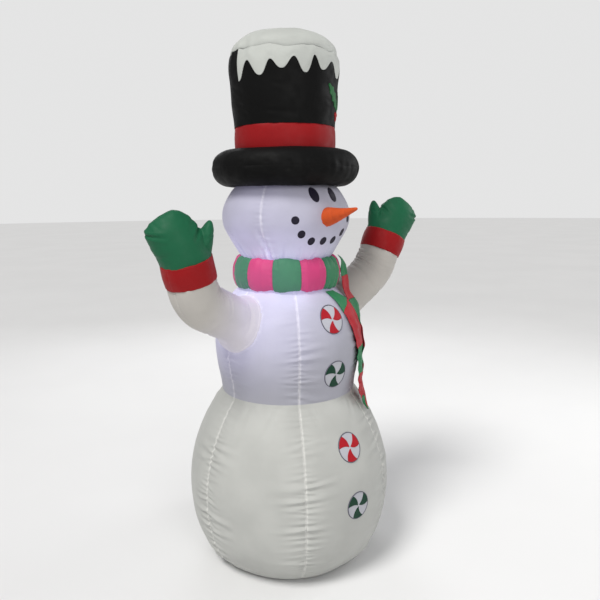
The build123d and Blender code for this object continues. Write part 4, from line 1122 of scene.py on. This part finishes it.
def vane(surface, z, start, material):
    """One curved vane of the swirl, as a strip of the disc between two arcs."""
    rim = BUTTON_R - 2.6
    radii = np.concatenate([[3.2], np.linspace(4, rim - 1, 16), [rim, rim]])
    left = arc_angles([(rim, start), (rim * 0.55, start - 12), (3, start + 40)], radii)
    right = arc_angles([(rim, start + 56), (rim * 0.55, start + 44), (3, start + 40)], radii)
    share = np.concatenate([[0, 0, 0.03], np.linspace(0.08, 0.92, 12), [0.97, 1, 1]])
    lift = np.tile([0.5, 1.5, 1.9, *[2.0] * 12, 1.9, 1.5, 0.5], (len(radii), 1))
    lift[[0, -1]] = 0.5
    angle = left[:, None] + (right - left)[:, None] * share
    u, v = radii[:, None] * np.cos(angle), radii[:, None] * np.sin(angle)
    points = surface.seen_from(0, u, z + v, lift)
    from_edge = np.minimum(np.abs(share - 0.07), np.abs(share - 0.93)) * 30
    along, stitch = grid(radii, from_edge)
    return grid_piece("vane", points, share * 30, radii, "body", material, flip=True,
                      marks={"stitch": stitch, "along": along})


def outline_ring(surface, z):
    """The dark rolled binding round a button."""
    radii = BUTTON_R + np.array([-2.6, -2.4, -1.3, -0.1, 0.3])
    lift = np.array([0.9, 2.0, 2.5, 1.7, -0.3])
    a = circle(96)
    u, v = radii[:, None] * np.cos(a), radii[:, None] * np.sin(a)
    points = surface.seen_from(0, u, z + v, lift[:, None] + 0.25 * np.sin(a * 48)[None])
    return grid_piece("outline", points, a * BUTTON_R, radii, "body", outline_thread, wrap=True, flip=True)


groups = {"patch": [], "ring": [], "red": [], "green": []}
for z, colour in BUTTONS:
    surface = TORSO if z > WAIST_Z else BASE
    place = partial(surface.seen_from, 0)
    groups["patch"].append(thick_patch("button", place, disc((0, z), BUTTON_R), "body", button_white,
                                       lift=1.1))
    groups["ring"].append(outline_ring(surface, z))
    material = swirl_red if colour == "red" else swirl_green
    groups[colour] += [vane(surface, z, 120 * i, material) for i in range(3)]
joined("button_patch_cloth", groups["patch"], ["button_patches"])
joined("button_outline_cloth", groups["ring"], ["button_outline_rings"])
joined("button_swirl_red_cloth", groups["red"], ["button_swirls_red"])
joined("button_swirl_green_cloth", groups["green"], ["button_swirls_green"])


# ---- arms ----
def arm_frame(arm):
    """Shoulder centre, outward and across directions, the centre line, its length, and the elbow on it."""
    yaw, low, high = radians(arm["yaw"]), radians(arm["low"]), radians(arm["high"])
    out = np.array([arm["side"] * cos(yaw), -sin(yaw), 0])
    across = np.cross(out, UP)
    dx = arm["reach"] - arm["bend"] * (sin(high) - sin(low))
    dy = arm["rise"] - arm["bend"] * (cos(low) - cos(high))
    scale = cos(low) * sin(high) - sin(low) * cos(high)
    first, last = (dx * sin(high) - dy * cos(high)) / scale, (dy * cos(low) - dx * sin(low)) / scale
    arc = arm["bend"] * (high - low)

    def line(t):
        t = np.asarray(t, float)
        angle = low + np.clip((t - first) / arc, 0, 1) * (high - low)
        start, end = np.clip(t, None, first), np.clip(t - first - arc, 0, None)
        x = start * cos(low) + arm["bend"] * (np.sin(angle) - sin(low)) + end * cos(high)
        y = start * sin(low) + arm["bend"] * (cos(low) - np.cos(angle)) + end * sin(high)
        return x, y, angle

    return shoulder_of(arm), out, across, line, first + arc + last, first + arc * 0.55


def sleeve_radius(t):
    """The shoulder's ball, running smoothly into the tube of the sleeve."""
    ball = np.sqrt(np.clip(SHOULDER_R ** 2 - t ** 2, 0, None))
    soft = 5.0
    return np.where(t > 90, SLEEVE_R, soft * np.logaddexp(ball / soft, SLEEVE_R / soft))


def sleeve_folds(tm, am, total, elbow, seed):
    """Folds on the inside of the elbow, and a few anywhere along the sleeve."""
    rng = np.random.default_rng(seed)
    off = np.zeros_like(tm)

    def fold(depth, place, lean, mid, width, span):
        across = groove(tm - place - lean * np.sin(am - mid), width)
        return depth * across * bell(signed_angle(am - mid) / span)

    for k in range(9):
        place = elbow + (k - 4) * 15 + rng.uniform(-4, 4)
        depth, lean, mid = rng.uniform(1.4, 3.6), rng.uniform(-26, 26), rng.uniform(-0.5, 0.5)
        off += fold(depth, place, lean, mid, rng.uniform(3.4, 6), rng.uniform(0.7, 1.25))
    for _ in range(7):
        place, mid = rng.uniform(70, total - 12), rng.uniform(0, 2 * pi)
        depth, lean = rng.uniform(1.4, 3.2), rng.uniform(-60, 60)
        off += fold(depth, place, lean, mid, rng.uniform(4, 7), rng.uniform(0.35, 0.7))
    return off


def make_sleeve(name, arm):
    c, out, across, line, total, elbow = arm_frame(arm)
    tube = np.linspace(0, total - 1, int(total / 2.5))
    t = np.concatenate([np.linspace(-34, 0, 12)[:-1], tube, [total + 4.0]])
    angle = circle(180)
    tm, am = grid(t, angle)
    x, y, turned = line(tm)
    r = sleeve_radius(tm)
    seed = arm["seed"]
    wrist = np.clip(total - tm, 0, None)
    off = gathers(am, wrist, (40, seed + 1, 1.3, 22), (18, seed + 2, 1.8, 22)) - 1.6 * np.exp(-wrist / 5)
    off += sleeve_folds(tm, am, total, elbow, seed)
    upward = -np.sin(turned)[..., None] * out + np.cos(turned)[..., None] * UP
    radial = np.cos(am)[..., None] * upward + np.sin(am)[..., None] * across
    start = c + x[..., None] * out + y[..., None] * UP
    rough = start + r[..., None] * radial
    outside = np.hypot(rough[..., 0], rough[..., 1]) - TORSO.radius(rough[..., 2])
    away = np.clip(outside, 0, None)
    armhole = gathers(am, away, (42, seed + 3, 1.3, 24), (19, seed + 4, 1.5, 24))
    off += armhole * np.clip((outside + 4) / 10, 0, 1)
    shoulder_fold = 2.4 * groove(tm - 66 - 5 * np.sin(2 * am + seed), 5.0)
    off += shoulder_fold * bell(signed_angle(am - 0.9 * arm["side"]) / 1.1)
    under = np.abs(signed_angle(am + pi)) * SLEEVE_R
    off += (-2.2 * np.exp(-under / 12) - 0.8 * bell(under / 2.5)) * np.clip((tm - 50) / 30, 0, 1)
    off += dents(rough, (1.2, 70, seed + 5), (0.45, 28, seed + 6))
    room = np.clip((outside - 3) / 18, 0, 1)
    off = np.clip(off, -0.4 - 6 * room, 0.5 + 9 * room)
    points = start + (r + off)[..., None] * radial
    under_band = np.clip(1.1 - under / 2.4, 0, 1) * (tm > 60)
    band = np.maximum(under_band, np.clip(0.8 - np.abs(outside - 4) / 4, 0, 0.6))
    grid_piece("sleeve_" + name + "_cloth", points, angle * 80, t, "arm_" + name, white_sleeve, wrap=True,
               flip=arm["side"] < 0, replaces=["sleeve_" + name], slot="white_cloth",
               marks={"seam": band, "stitch": np.minimum(under, np.abs(outside - 6)), "along": tm})


def wrist_frame(arm):
    c, out, *_ = arm_frame(arm)
    high = radians(arm["high"])
    along = out * cos(high) + UP * sin(high)
    to_head = UP * cos(high) - out * sin(high)
    return c + out * arm["reach"] + UP * arm["rise"], to_head, np.cross(along, to_head), along


def place_at_wrist(arm, local):
    o, x, y, z = wrist_frame(arm)
    return o + local[..., 0:1] * x + local[..., 1:2] * y + local[..., 2:3] * z


def make_cuff(name, arm):
    seed = arm["seed"] + 10
    w = np.concatenate([[1.0, -0.6, 0.0], np.linspace(1.5, CUFF_LENGTH - 1.5, 30),
                        CUFF_LENGTH + np.array([0, 0.6, -1])])
    r = SLEEVE_R + np.array([-3, -0.5, 1.2, *[1.9] * 30, 1.2, -0.5, -4])
    angle = circle(180)
    wm, am = grid(w, angle)
    ends = np.clip(np.minimum(wm, CUFF_LENGTH - wm), 0, None)
    off = 2.4 * np.sin(pi * np.clip(wm / CUFF_LENGTH, 0, 1)) ** 0.7
    off += gathers(am, ends, (44, seed, 1.0, 13), (20, seed + 1, 1.1, 13))
    local = np.stack([np.cos(am), np.sin(am), wm / 80], -1) * 80
    off += dents(local, (1.3, 40, seed + 2), (0.5, 17, seed + 3))
    side_gap = np.abs(signed_angle(am + pi)) * SLEEVE_R
    off -= 1.5 * np.exp(-side_gap / 7)
    rr = r[:, None] + off
    edge = 0.9 * ring_noise(am, 26, seed + 4) * np.where(wm > CUFF_LENGTH / 2, 1, 0.6)
    points = place_at_wrist(arm, np.stack([rr * np.cos(am), rr * np.sin(am), wm + edge], -1))
    grid_piece("cuff_" + name + "_cloth", points, angle * 78, w, "arm_" + name, cuff_cloth, wrap=True,
               replaces=["cuff_" + name], slot="red_cloth",
               marks={"seam": np.clip(1 - side_gap / 2, 0, 1),
                      "stitch": np.minimum(np.abs(ends - 4), side_gap), "along": am * 78})


# Sections of the mitten above the cuff: height, outer edge, inner edge, half thickness.
PALM = [(-8, -75, 75, 75), (0, -77, 77, 76), (18, -81, 77, 74), (40, -87, 74, 71), (62, -92, 70, 67),
        (84, -96.5, 63, 61), (104, -97, 54, 54), (120, -87, 45, 45), (134, -70, 35, 34), (144, -49, 23, 23),
        (149.5, -28, 11, 12), (151.5, -10, -4, 3)]
THUMB = [(-6, 20, 74, 24), (8, 24, 80, 31), (26, 32, 87, 35), (44, 43, 94, 35), (62, 54, 100, 31),
         (78, 65, 104, 25), (90, 76, 104.5, 18), (97, 85, 103, 10), (101, 91, 99, 3)]


def lobe_mesh(sections, lens):
    """A closed pillow through sections, with edges that sharpen towards the tip."""
    _, q = smooth_line(sections)
    q = q[np.linspace(0, len(q) - 1, 46).astype(int)]
    a = circle(72)
    share = np.clip((q[:, 0] - q[0, 0]) / (q[-1, 0] - q[0, 0]), 0, 1)[:, None]
    power = 1 + lens * np.clip(share * 1.6, 0, 1)
    half, mid = (q[:, 2:3] - q[:, 1:2]) / 2, (q[:, 2:3] + q[:, 1:2]) / 2
    x = mid + half * np.cos(a)
    y = q[:, 3:4] * np.sign(np.sin(a)) * np.abs(np.sin(a)) ** power
    points = np.stack([x, y, q[:, 0:1] + 0 * x], -1)
    faces, _ = grid_faces(len(q), len(a), wrap=True)
    n = len(q) * len(a)
    ends = [tuple(range(len(a)))[::-1], tuple(range(n - len(a), n))]
    return points.reshape(-1, 3), [tuple(int(i) for i in f) for f in faces] + ends


def remeshed(parts, voxel):
    """The parts fused into one skin of even quads."""
    points, faces, start = [], [], 0
    for p, f in parts:
        points += (p * MM).tolist()
        faces += [tuple(i + start for i in one) for one in f]
        start += len(p)
    mesh = bpy.data.meshes.new("fuse")
    mesh.from_pydata(points, [], faces)
    lump = bpy.data.objects.new("fuse", mesh)
    bpy.context.scene.collection.objects.link(lump)
    lump.modifiers.new("fuse", "REMESH").voxel_size = voxel * MM
    done = bpy.data.meshes.new_from_object(lump.evaluated_get(bpy.context.evaluated_depsgraph_get()))
    bpy.data.objects.remove(lump)
    co = np.zeros(len(done.vertices) * 3)
    done.vertices.foreach_get("co", co)
    quads = [tuple(p.vertices) for p in done.polygons]
    edges = np.array([tuple(e.vertices) for e in done.edges])
    bpy.data.meshes.remove(done)
    return co.reshape(-1, 3) / MM, quads, edges


def relaxed(points, edges, rounds, share=0.5):
    """The points drawn towards the middle of their neighbours."""
    count = np.bincount(edges.ravel(), minlength=len(points))[:, None]
    for _ in range(rounds):
        total = np.zeros_like(points)
        np.add.at(total, edges[:, 0], points[edges[:, 1]])
        np.add.at(total, edges[:, 1], points[edges[:, 0]])
        points = points + share * (total / np.maximum(count, 1) - points)
    return points


def vertex_normals(points, faces):
    f = np.array([q if len(q) == 4 else (*q, q[-1]) for q in faces])
    n = np.cross(points[f[:, 2]] - points[f[:, 0]], points[f[:, 3]] - points[f[:, 1]])
    out = np.zeros_like(points)
    for k in range(4):
        np.add.at(out, f[:, k], n)
    return out / np.maximum(np.linalg.norm(out, axis=1), 1e-9)[:, None]


def mitten_shape():
    """Points, faces and marks of the right mitten above its cuff, with palm and thumb fused."""
    points, faces, edges = remeshed([lobe_mesh(PALM, 0.32), lobe_mesh(THUMB, 0.25)], 2.6)
    points = relaxed(points, edges, 5)
    normals = vertex_normals(points, faces)
    u, v, w = points.T
    y = np.abs(v)
    around = np.arctan2(w - 55, u + 4)
    top = np.clip(w / 45, 0, 1)
    off = (gathers(around, y, (44, 91, 1.7, 17), (21, 92, 2.0, 17)) - 1.8 * bell(y / 2.6)) * top
    off += gathers(np.arctan2(v, u), np.clip(w, 0, None), (36, 93, 1.3, 13))
    for side in (1, -1):
        facing = np.where(side * v > 0, 1.0, 0.0) * np.clip(y / 6, 0, 1)
        off += crease(u, w, (-99, 103), (-34, 97 + 8 * side), 4.5, 5.5) * facing
        off += crease(u, w, (62, 92), (34, 62 + 10 * side), 5, 4.5) * facing
        off += crease(u, w, (97, 60), (60, 50), 4, 1.6) * facing
        off += crease(u, w, (-70, 137), (-40, 96), 5, 1.6) * facing
        off += crease(u, w, (-84, 30), (-30, 44), 6, 1.4) * facing
    off += dents(points, (1.4, 44, 94), (0.5, 18, 95))
    points = points + normals * off[:, None]
    keep = [f for f in faces if max(points[i][2] for i in f) > -2.5]
    gap = np.abs(points[:, 1])
    marks = {"seam": np.clip(1.1 - gap / 2.2, 0, 1) * (w > 4), "stitch": np.where(w > 4, gap, FAR),
             "along": around * 90}
    return points, keep, marks


def make_mitten(name, arm, shape):
    points, faces, marks = shape
    if arm["side"] > 0:
        points, faces = points * [1, -1, 1], [f[::-1] for f in faces]
    a = radians(arm["twist"])
    x, y, z = points.T
    turned = np.stack([x * cos(a) - y * sin(a), x * sin(a) + y * cos(a), z + CUFF_LENGTH], -1)
    uvs = points[np.concatenate(faces)][:, [0, 2]]
    mitten = make_piece("mitten_" + name + "_cloth", place_at_wrist(arm, turned), faces, "arm_" + name,
                        mitten_cloth, replaces=["mitten_" + name], slot="green_cloth", uvs=uvs, marks=marks)


hand = mitten_shape()
for arm_name, arm_values in ARMS.items():
    make_sleeve(arm_name, arm_values)
    make_cuff(arm_name, arm_values)
    make_mitten(arm_name, arm_values, hand)


# ---- scarf tails ----
TAIL_LONG = {"azimuth": 28, "line": [(182, 974), (208, 951), (239, 900), (256, 850), (263, 795), (264, 700),
                                     (267.5, 630), (276, 590), (293, 545)],
             "cuts": [(-62, 976, -24, 976), (-52, 906, 16, 943), (-14, 775, 70, 775), (-13, 680, 70, 680),
                      (-13, 600, 70, 600), (28, 549, 30, 549)],
             "colours": ["green", "red", "green", "red", "tip"], "turn": 0.08, "seed": 110}
TAIL_SHORT = {"azimuth": 51.5, "line": [(172, 1093), (190, 1078), (197.5, 1040), (201, 1000), (210, 955),
                                        (240, 900), (257, 850), (264, 795), (264.5, 700), (264.5, 645)],
              "cuts": [(-24, 1086, 24, 1086), (-30, 1015, 30, 1015), (-32, 930, 32, 930), (-33, 845, 33, 845),
                       (-34, 760, 34, 760), (-34, 700, 34, 700), (-1, 648, 1, 648)],
              "colours": ["green", "red", "green", "red", "green", "red"], "turn": 0.42, "seed": 120}


def tail_points(tail, cut_share, across):
    """Points of a tail: cut_share counts stripes from the top and across runs from 0 to 1."""
    cuts = np.array(tail["cuts"], float)
    i = np.clip(np.floor(cut_share).astype(int), 0, len(cuts) - 2)
    f = (cut_share - i)[..., None]
    c = cuts[i] * (1 - f) + cuts[i + 1] * f
    u = c[..., 0] + (c[..., 2] - c[..., 0]) * across
    z = c[..., 1] + (c[..., 3] - c[..., 1]) * across
    order = np.array(sorted(tail["line"], key=lambda p: p[1]), float)
    table = smooth_line(order)[1]
    r = np.interp(z, table[:, 1], table[:, 0])
    down = np.clip((order[-1, 1] - z) / (order[-1, 1] - order[0, 1]), 0, 1)
    rng = np.random.default_rng(tail["seed"])
    wave = 0.0
    for _ in range(4):
        size, tilt, phase = rng.uniform(36, 110), rng.uniform(-0.8, 0.8), rng.uniform(0, 6.28)
        wave = wave + rng.uniform(0.5, 1.0) * np.sin(2 * pi * (z + tilt * u) / size + phase)
    flute = np.sin(2 * pi * across * 1.3 + 0.9 * np.sin(z / 60.0) + tail["seed"])
    out = 1.6 * wave * (0.25 + down) + 2.4 * flute * (0.3 + down)
    out += dents(np.stack([u, z, 0 * z], -1), (0.8, 16, tail["seed"])) - 0.6
    curl = (np.abs(across - 0.5) * 2) ** 3 * 5.0 * np.clip(down * 1.6, 0, 1)
    rr = r + 1.0 + np.clip(out + curl + 1.2, -2.0, None) * np.clip(down * 8, 0, 1)
    upper_part = np.clip((z - 830) / 70, 0, 1) * np.clip((1088 - z) / 40, 0, 1)
    rr = rr + tail["turn"] * (u + 10) * upper_part
    beta = radians(tail["azimuth"]) + np.arcsin(np.clip(u / r, -1, 1))
    return about_axis(rr, beta, z), u, z


def both_faces(front, back):
    """The front's columns and then the back's in reverse, as one loop round the cloth."""
    return np.concatenate([front, back[:, ::-1]], 1)


def tail_strip(tail, first, last, from_share, to_share, material, body):
    """One stripe as cloth with two faces and a folded hem on each long side."""
    length = tail["cuts"][first][1] - tail["cuts"][last][1]
    rows = np.linspace(first, last, max(8, int(length / 3.2)))
    x = np.linspace(from_share, to_share, max(6, int(26 * (to_share - from_share))))
    rm, xm = grid(np.clip(rows, first + 1e-4, last - 1e-4), x)
    points, u, z = tail_points(tail, rm, xm)
    du, dv = np.gradient(points, axis=1), np.gradient(points, axis=0)
    normal = np.cross(du, dv)
    normal /= np.maximum(np.linalg.norm(normal, axis=-1), 1e-9)[..., None]
    if (normal * points * [1, 1, 0]).sum() < 0:
        normal = -normal
    hem = np.minimum(xm, 1 - xm) * 70
    half = np.where(hem < 5, 0.9, 0.55)[..., None]
    wrapped = both_faces(points + normal * half, points - normal * half)
    flat = np.stack([u, z], -1)
    uv, hems = both_faces(flat, flat), both_faces(hem, hem)
    cols = wrapped.shape[1]
    faces = [tuple(f[::-1]) for f in grid_faces(len(rows), cols, wrap=True)[0]]
    caps = []
    for row in (0, len(rows) - 1):
        base = row * cols
        for j in range(len(x) - 1):
            quad = (base + j, base + j + 1, base + cols - 2 - j, base + cols - 1 - j)
            caps.append(quad if row == 0 else quad[::-1])
    area = np.linalg.norm(np.cross(du, dv), axis=-1).sum()
    piece = make_piece("tail_part", wrapped, faces + caps, body, material,
                       uvs=uv.reshape(-1, 2)[np.concatenate(faces + caps)],
                       marks={"stitch": np.abs(hems - 4.2), "along": uv[..., 1]})
    return piece, area


def make_tail(name, tail):
    """Both colours of a tail, each as one sheet of its stripes."""
    found = {"green": [], "red": []}
    for k, stripe in enumerate(tail["colours"]):
        halves = [("green", 0.0, 0.5), ("red", 0.5, 1.0)] if stripe == "tip" else [(stripe, 0.0, 1.0)]
        for colour, a, b in halves:
            material = tail_green if colour == "green" else tail_red
            found[colour].append(tail_strip(tail, k, k + 1, a, b, material, "scarf_tail_" + name))
    for colour, made in found.items():
        piece = joined("scarf_tail_" + name + "_" + colour, [p for p, _ in made],
                       ["tail_" + name + "_" + colour])


make_tail("long", TAIL_LONG)
make_tail("short", TAIL_SHORT)


# ---- ground and blower ----
def make_floor_panel():
    """The round cloth that closes the base, ruffled where its rim is sewn on."""
    r = np.concatenate([np.linspace(2, 225, 40), [229, 233, 237, 241, 244, 244.6, 244, 225, 120, 2]])
    z = np.concatenate([np.full(44, 1.2), [1.1, 0.6, 0.0, 0.0, 0.0, 0.0]])
    angle = circle(240)
    rm, am = grid(r, angle)
    rim = bell((rm - 243) / 7)
    wave = (np.abs(ring_noise(am, 90, 131)) * 2.2 + np.abs(ring_noise(am, 40, 132)) * 1.6) * rim
    points = about_axis(rm, am, z[:, None] + wave)
    panel = grid_piece("floor_panel_cloth", points, angle * 240, r, "body", floor_cloth, wrap=True, flip=True,
                       marks={"stitch": np.abs(rm - 239), "along": am * 239},
                       replaces=["base_floor_panel"], slot="white_cloth")


def make_stake_tabs():
    """Webbing tabs with rounded corners and a hole for their grommets."""
    parts = []
    a = circle(72)
    for azimuth in (90, 150, 210):
        x = 23 * np.sign(np.cos(a)) * np.abs(np.cos(a)) ** 0.22
        y = 17 * np.sign(np.sin(a)) * np.abs(np.sin(a)) ** 0.22
        hole_x, hole_y = 8 + 7.2 * np.cos(a), 7.2 * np.sin(a)
        share = np.concatenate([[0, 0], np.linspace(0, 1, 12), [1, 1]])
        lift = np.concatenate([[0.1, 0.8], np.full(12, 1.4), [0.8, 0.1]])
        px = hole_x + share[:, None] * (x - hole_x)
        py = hole_y + share[:, None] * (y - hole_y)
        pz = lift[:, None] + 0.25 * np.sin(py * 2 * pi / 2.4) * (lift[:, None] > 1)
        at = radians(azimuth)
        out, side = np.array([sin(at), -cos(at), 0]), np.array([cos(at), sin(at), 0])
        points = out * (262.0 + px)[..., None] + side * py[..., None] + UP * pz[..., None]
        box = np.maximum(np.abs(px + 12) / 8, np.abs(py) / 14)
        parts.append(grid_piece("tab", points, a * 20, share * 20, "body", tab_webbing, wrap=True,
                                marks={"stitch": np.abs(box - 1) * 9, "along": px + py}))
    joined("stake_tab_webbing", parts, ["stake_tabs"])


def round_port(r, y, angle):
    """Points round the blower's axis at a distance behind the snowman's."""
    return np.stack([r * np.sin(angle), y, BLOWER_Z + r * np.cos(angle)], -1)


def make_port():
    """The cloth port round the blower, gathered under its strap, and the strap's webbing."""
    strap_y = 381
    a = circle(180)
    rim = round_port(PORT_R, 0 * a, a)
    wall = np.sqrt(np.clip(BASE.radius(rim[:, 2]) ** 2 - rim[:, 0] ** 2, 0, None)) - 5
    share, am = grid(np.linspace(0, 1, 40), a)
    y = wall + share * (PORT_END_Y - wall)
    to_strap, from_wall = np.abs(y - strap_y), y - wall
    ruffle = np.abs(1.3 * ring_noise(am, 70, 141)) + np.abs(1.2 * ring_noise(am, 33, 142))
    off = ruffle * np.clip((to_strap - 9) / 7, 0, 1) + 1.4 * np.exp(-from_wall / 9)
    off += 2.2 * np.clip((to_strap - 9) / 14, 0, 1) * bell((to_strap - 20) / 12)
    # the last row turns back inside as the hem's lining
    r = np.vstack([PORT_R - 0.2 + off, np.full(len(a), PORT_R - 1.2)])
    y, am = np.vstack([y, y[-1:] - 2]), np.vstack([am, am[-1:]])
    from_wall = np.vstack([from_wall, np.full(len(a), 99)])
    grid_piece("blower_port_cloth", round_port(r, y, am), a * PORT_R, np.append(share[:, 0], 1.02) * 60,
               "body", port_cloth, wrap=True, replaces=["blower_sleeve"], slot="white_cloth",
               marks={"seam": np.clip(1 - from_wall / 3, 0, 1), "stitch": np.abs(y - 389.5),
                      "along": am * PORT_R})
    ys = np.concatenate([[372.2, 371.9], np.linspace(372.6, 389.4, 15), [390.1, 389.8]])
    rs = np.concatenate([[82.1, 83.0], np.full(15, 83.9), [83.0, 82.1]])
    ym, am = grid(ys, a)
    rr = rs[:, None] + 0.12 * np.sin(ym * 2 * pi / 2.4) + 0.25 * ring_noise(am, 24, 143)
    grid_piece("blower_strap_webbing", round_port(rr, ym, am), a * 83, ys, "body", strap_webbing, wrap=True,
               marks={"stitch": np.abs(np.abs(ym - strap_y) - 6.8), "along": am * 83},
               replaces=["blower_strap"], slot="webbing")


def zip_point(x, y, lift):
    """A point on the placket: x runs up along the zip and y to the side."""
    axes = np.array([ZIP_ALONG, np.cross(ZIP_OUT, ZIP_ALONG), ZIP_OUT])
    return ZIP_ORIGIN + np.stack([x, y, lift], -1) @ axes


def make_placket():
    """The oval cloth round the zip, with a slot in its middle and a lightly ruffled rim."""
    a = circle(144)
    outer_x, outer_y = 80.5 * np.cos(a), 70.0 * np.sin(a)
    slot_x = 69 * np.sign(np.cos(a)) * np.clip(np.abs(np.cos(a)) * 6, 0, 1)
    slot_y = 6 * np.sign(np.sin(a)) * np.clip(np.abs(np.sin(a)) * 1.5, 0, 1)
    share = np.concatenate([[0, 0], np.linspace(0.02, 0.985, 26), [1.0]])
    lift = np.concatenate([[-1.2, -0.35], np.full(26, -0.12), [-1.4]])
    x = slot_x + share[:, None] * (outer_x - slot_x)
    y = slot_y + share[:, None] * (outer_y - slot_y)
    rim = np.exp(-(1 - share) * 60 / 9)[:, None]
    under_tape = (np.abs(y) < 17) & (np.abs(x) < 75)
    am = np.broadcast_to(a, x.shape)
    cloth_bumps = np.clip(dents(np.stack([x, y, 0 * x], -1), (0.7, 24, 152)), -0.3, 1)
    bumps = np.abs(1.1 * ring_noise(am, 60, 151)) * rim + cloth_bumps
    z = lift[:, None] + np.where(under_tape, 0, bumps * np.clip(share * 3, 0, 1)[:, None])
    from_rim = np.abs((1 - share[:, None]) * 74 - 5)
    beside_tape = np.abs(np.abs(y) - 18) + 99.0 * (np.abs(x) > 74)
    placket = grid_piece("zip_placket_cloth", zip_point(x, y, z), a * 70, share * 60, "body", placket_cloth,
                         wrap=True, flip=True, replaces=["zip_placket"], slot="white_cloth",
                         marks={"stitch": np.minimum(from_rim, beside_tape), "along": x + y})


def make_zip_tapes():
    """The two ribbed tapes that carry the teeth."""
    parts = []
    near, far = 1.95, 14.95
    x = np.linspace(-72, 72, 181)
    h = np.array([0.05, 0.45, *[0.8] * 14, 0.45, 0.05])
    for side in (-1, 1):
        y = np.concatenate([[near, near], np.linspace(near, far, 14), [far, far]]) * side
        xm, ym = grid(x, y)
        z = h[None] - 0.10 * (np.sin((xm + np.abs(ym)) * 2 * pi / 3.2) > 0) * (h[None] > 0.7)
        parts.append(grid_piece("tape", zip_point(xm, ym, z), y, x, "body", tape_webbing, flip=side > 0,
                                marks={"stitch": np.abs(np.abs(ym) - 12.5), "along": xm}))
    joined("zip_tape_webbing", parts, ["zip_tapes"])


def make_tie_tabs():
    """The cloth tabs that hold the lamp lead, each a folded strip round the lead."""
    parts = []
    spots = [(-160, 280.5, 418), (-139, 241, 535), (-113, 197, 684), (-119, 206, 780), (-48, -6, 1024)]
    for x, y, z in spots:
        r = np.hypot(x, y)
        out = np.array([x, y, 0]) / r if z < 1000 else np.array([-1.0, 0, 0])
        side = np.cross(UP, out)
        reach = (BASE if z < WAIST_Z else TORSO).radius(z) - r - 2
        loop = [(3.2 * np.cos(t), 3.2 * np.sin(t)) for t in np.linspace(pi * 0.85, -pi * 0.85, 18)]
        line = np.array([(reach, 0.9), (reach * 0.5, 0.9), (5, 0.9), *loop,
                         (5, -0.9), (reach * 0.5, -0.9), (reach, -0.9)])
        w = np.linspace(-7, 7, 9)
        lm, wm = grid(np.arange(len(line)), w)
        local = np.concatenate([line[lm], wm[..., None]], -1)
        points = np.array([x, y, z]) + local @ np.array([out, UP, side])
        parts.append(grid_piece("tie", points, w, np.arange(len(line)) * 3.0, "body", tape_webbing,
                                marks={"stitch": np.abs(line[lm, 0] - 8), "along": wm}))
    joined("lamp_tie_tab_cloth", parts, ["lamp_tie_tabs"])


make_floor_panel()
make_stake_tabs()
make_port()
make_placket()
make_zip_tapes()
make_tie_tabs()


# ---- stage ----
def make_stage():
    """A round studio floor of 40 m, half a millimetre below the snowman."""
    r, a = grid([0.02, 2, 6, 14, 40], circle(96))
    points = about_axis(r, a, 0 * r - 0.0005)
    faces = [tuple(f[::-1]) for f in grid_faces(*r.shape, wrap=True)[0].tolist()]
    mesh = bpy.data.meshes.new("studio_floor")
    mesh.from_pydata(points.reshape(-1, 3).tolist(), [], faces + [tuple(range(r.shape[1]))])
    mesh.materials.append(stage_paint())
    floor = bpy.data.objects.new("studio_floor", mesh)
    bpy.context.scene.collection.objects.link(floor)


make_stage()
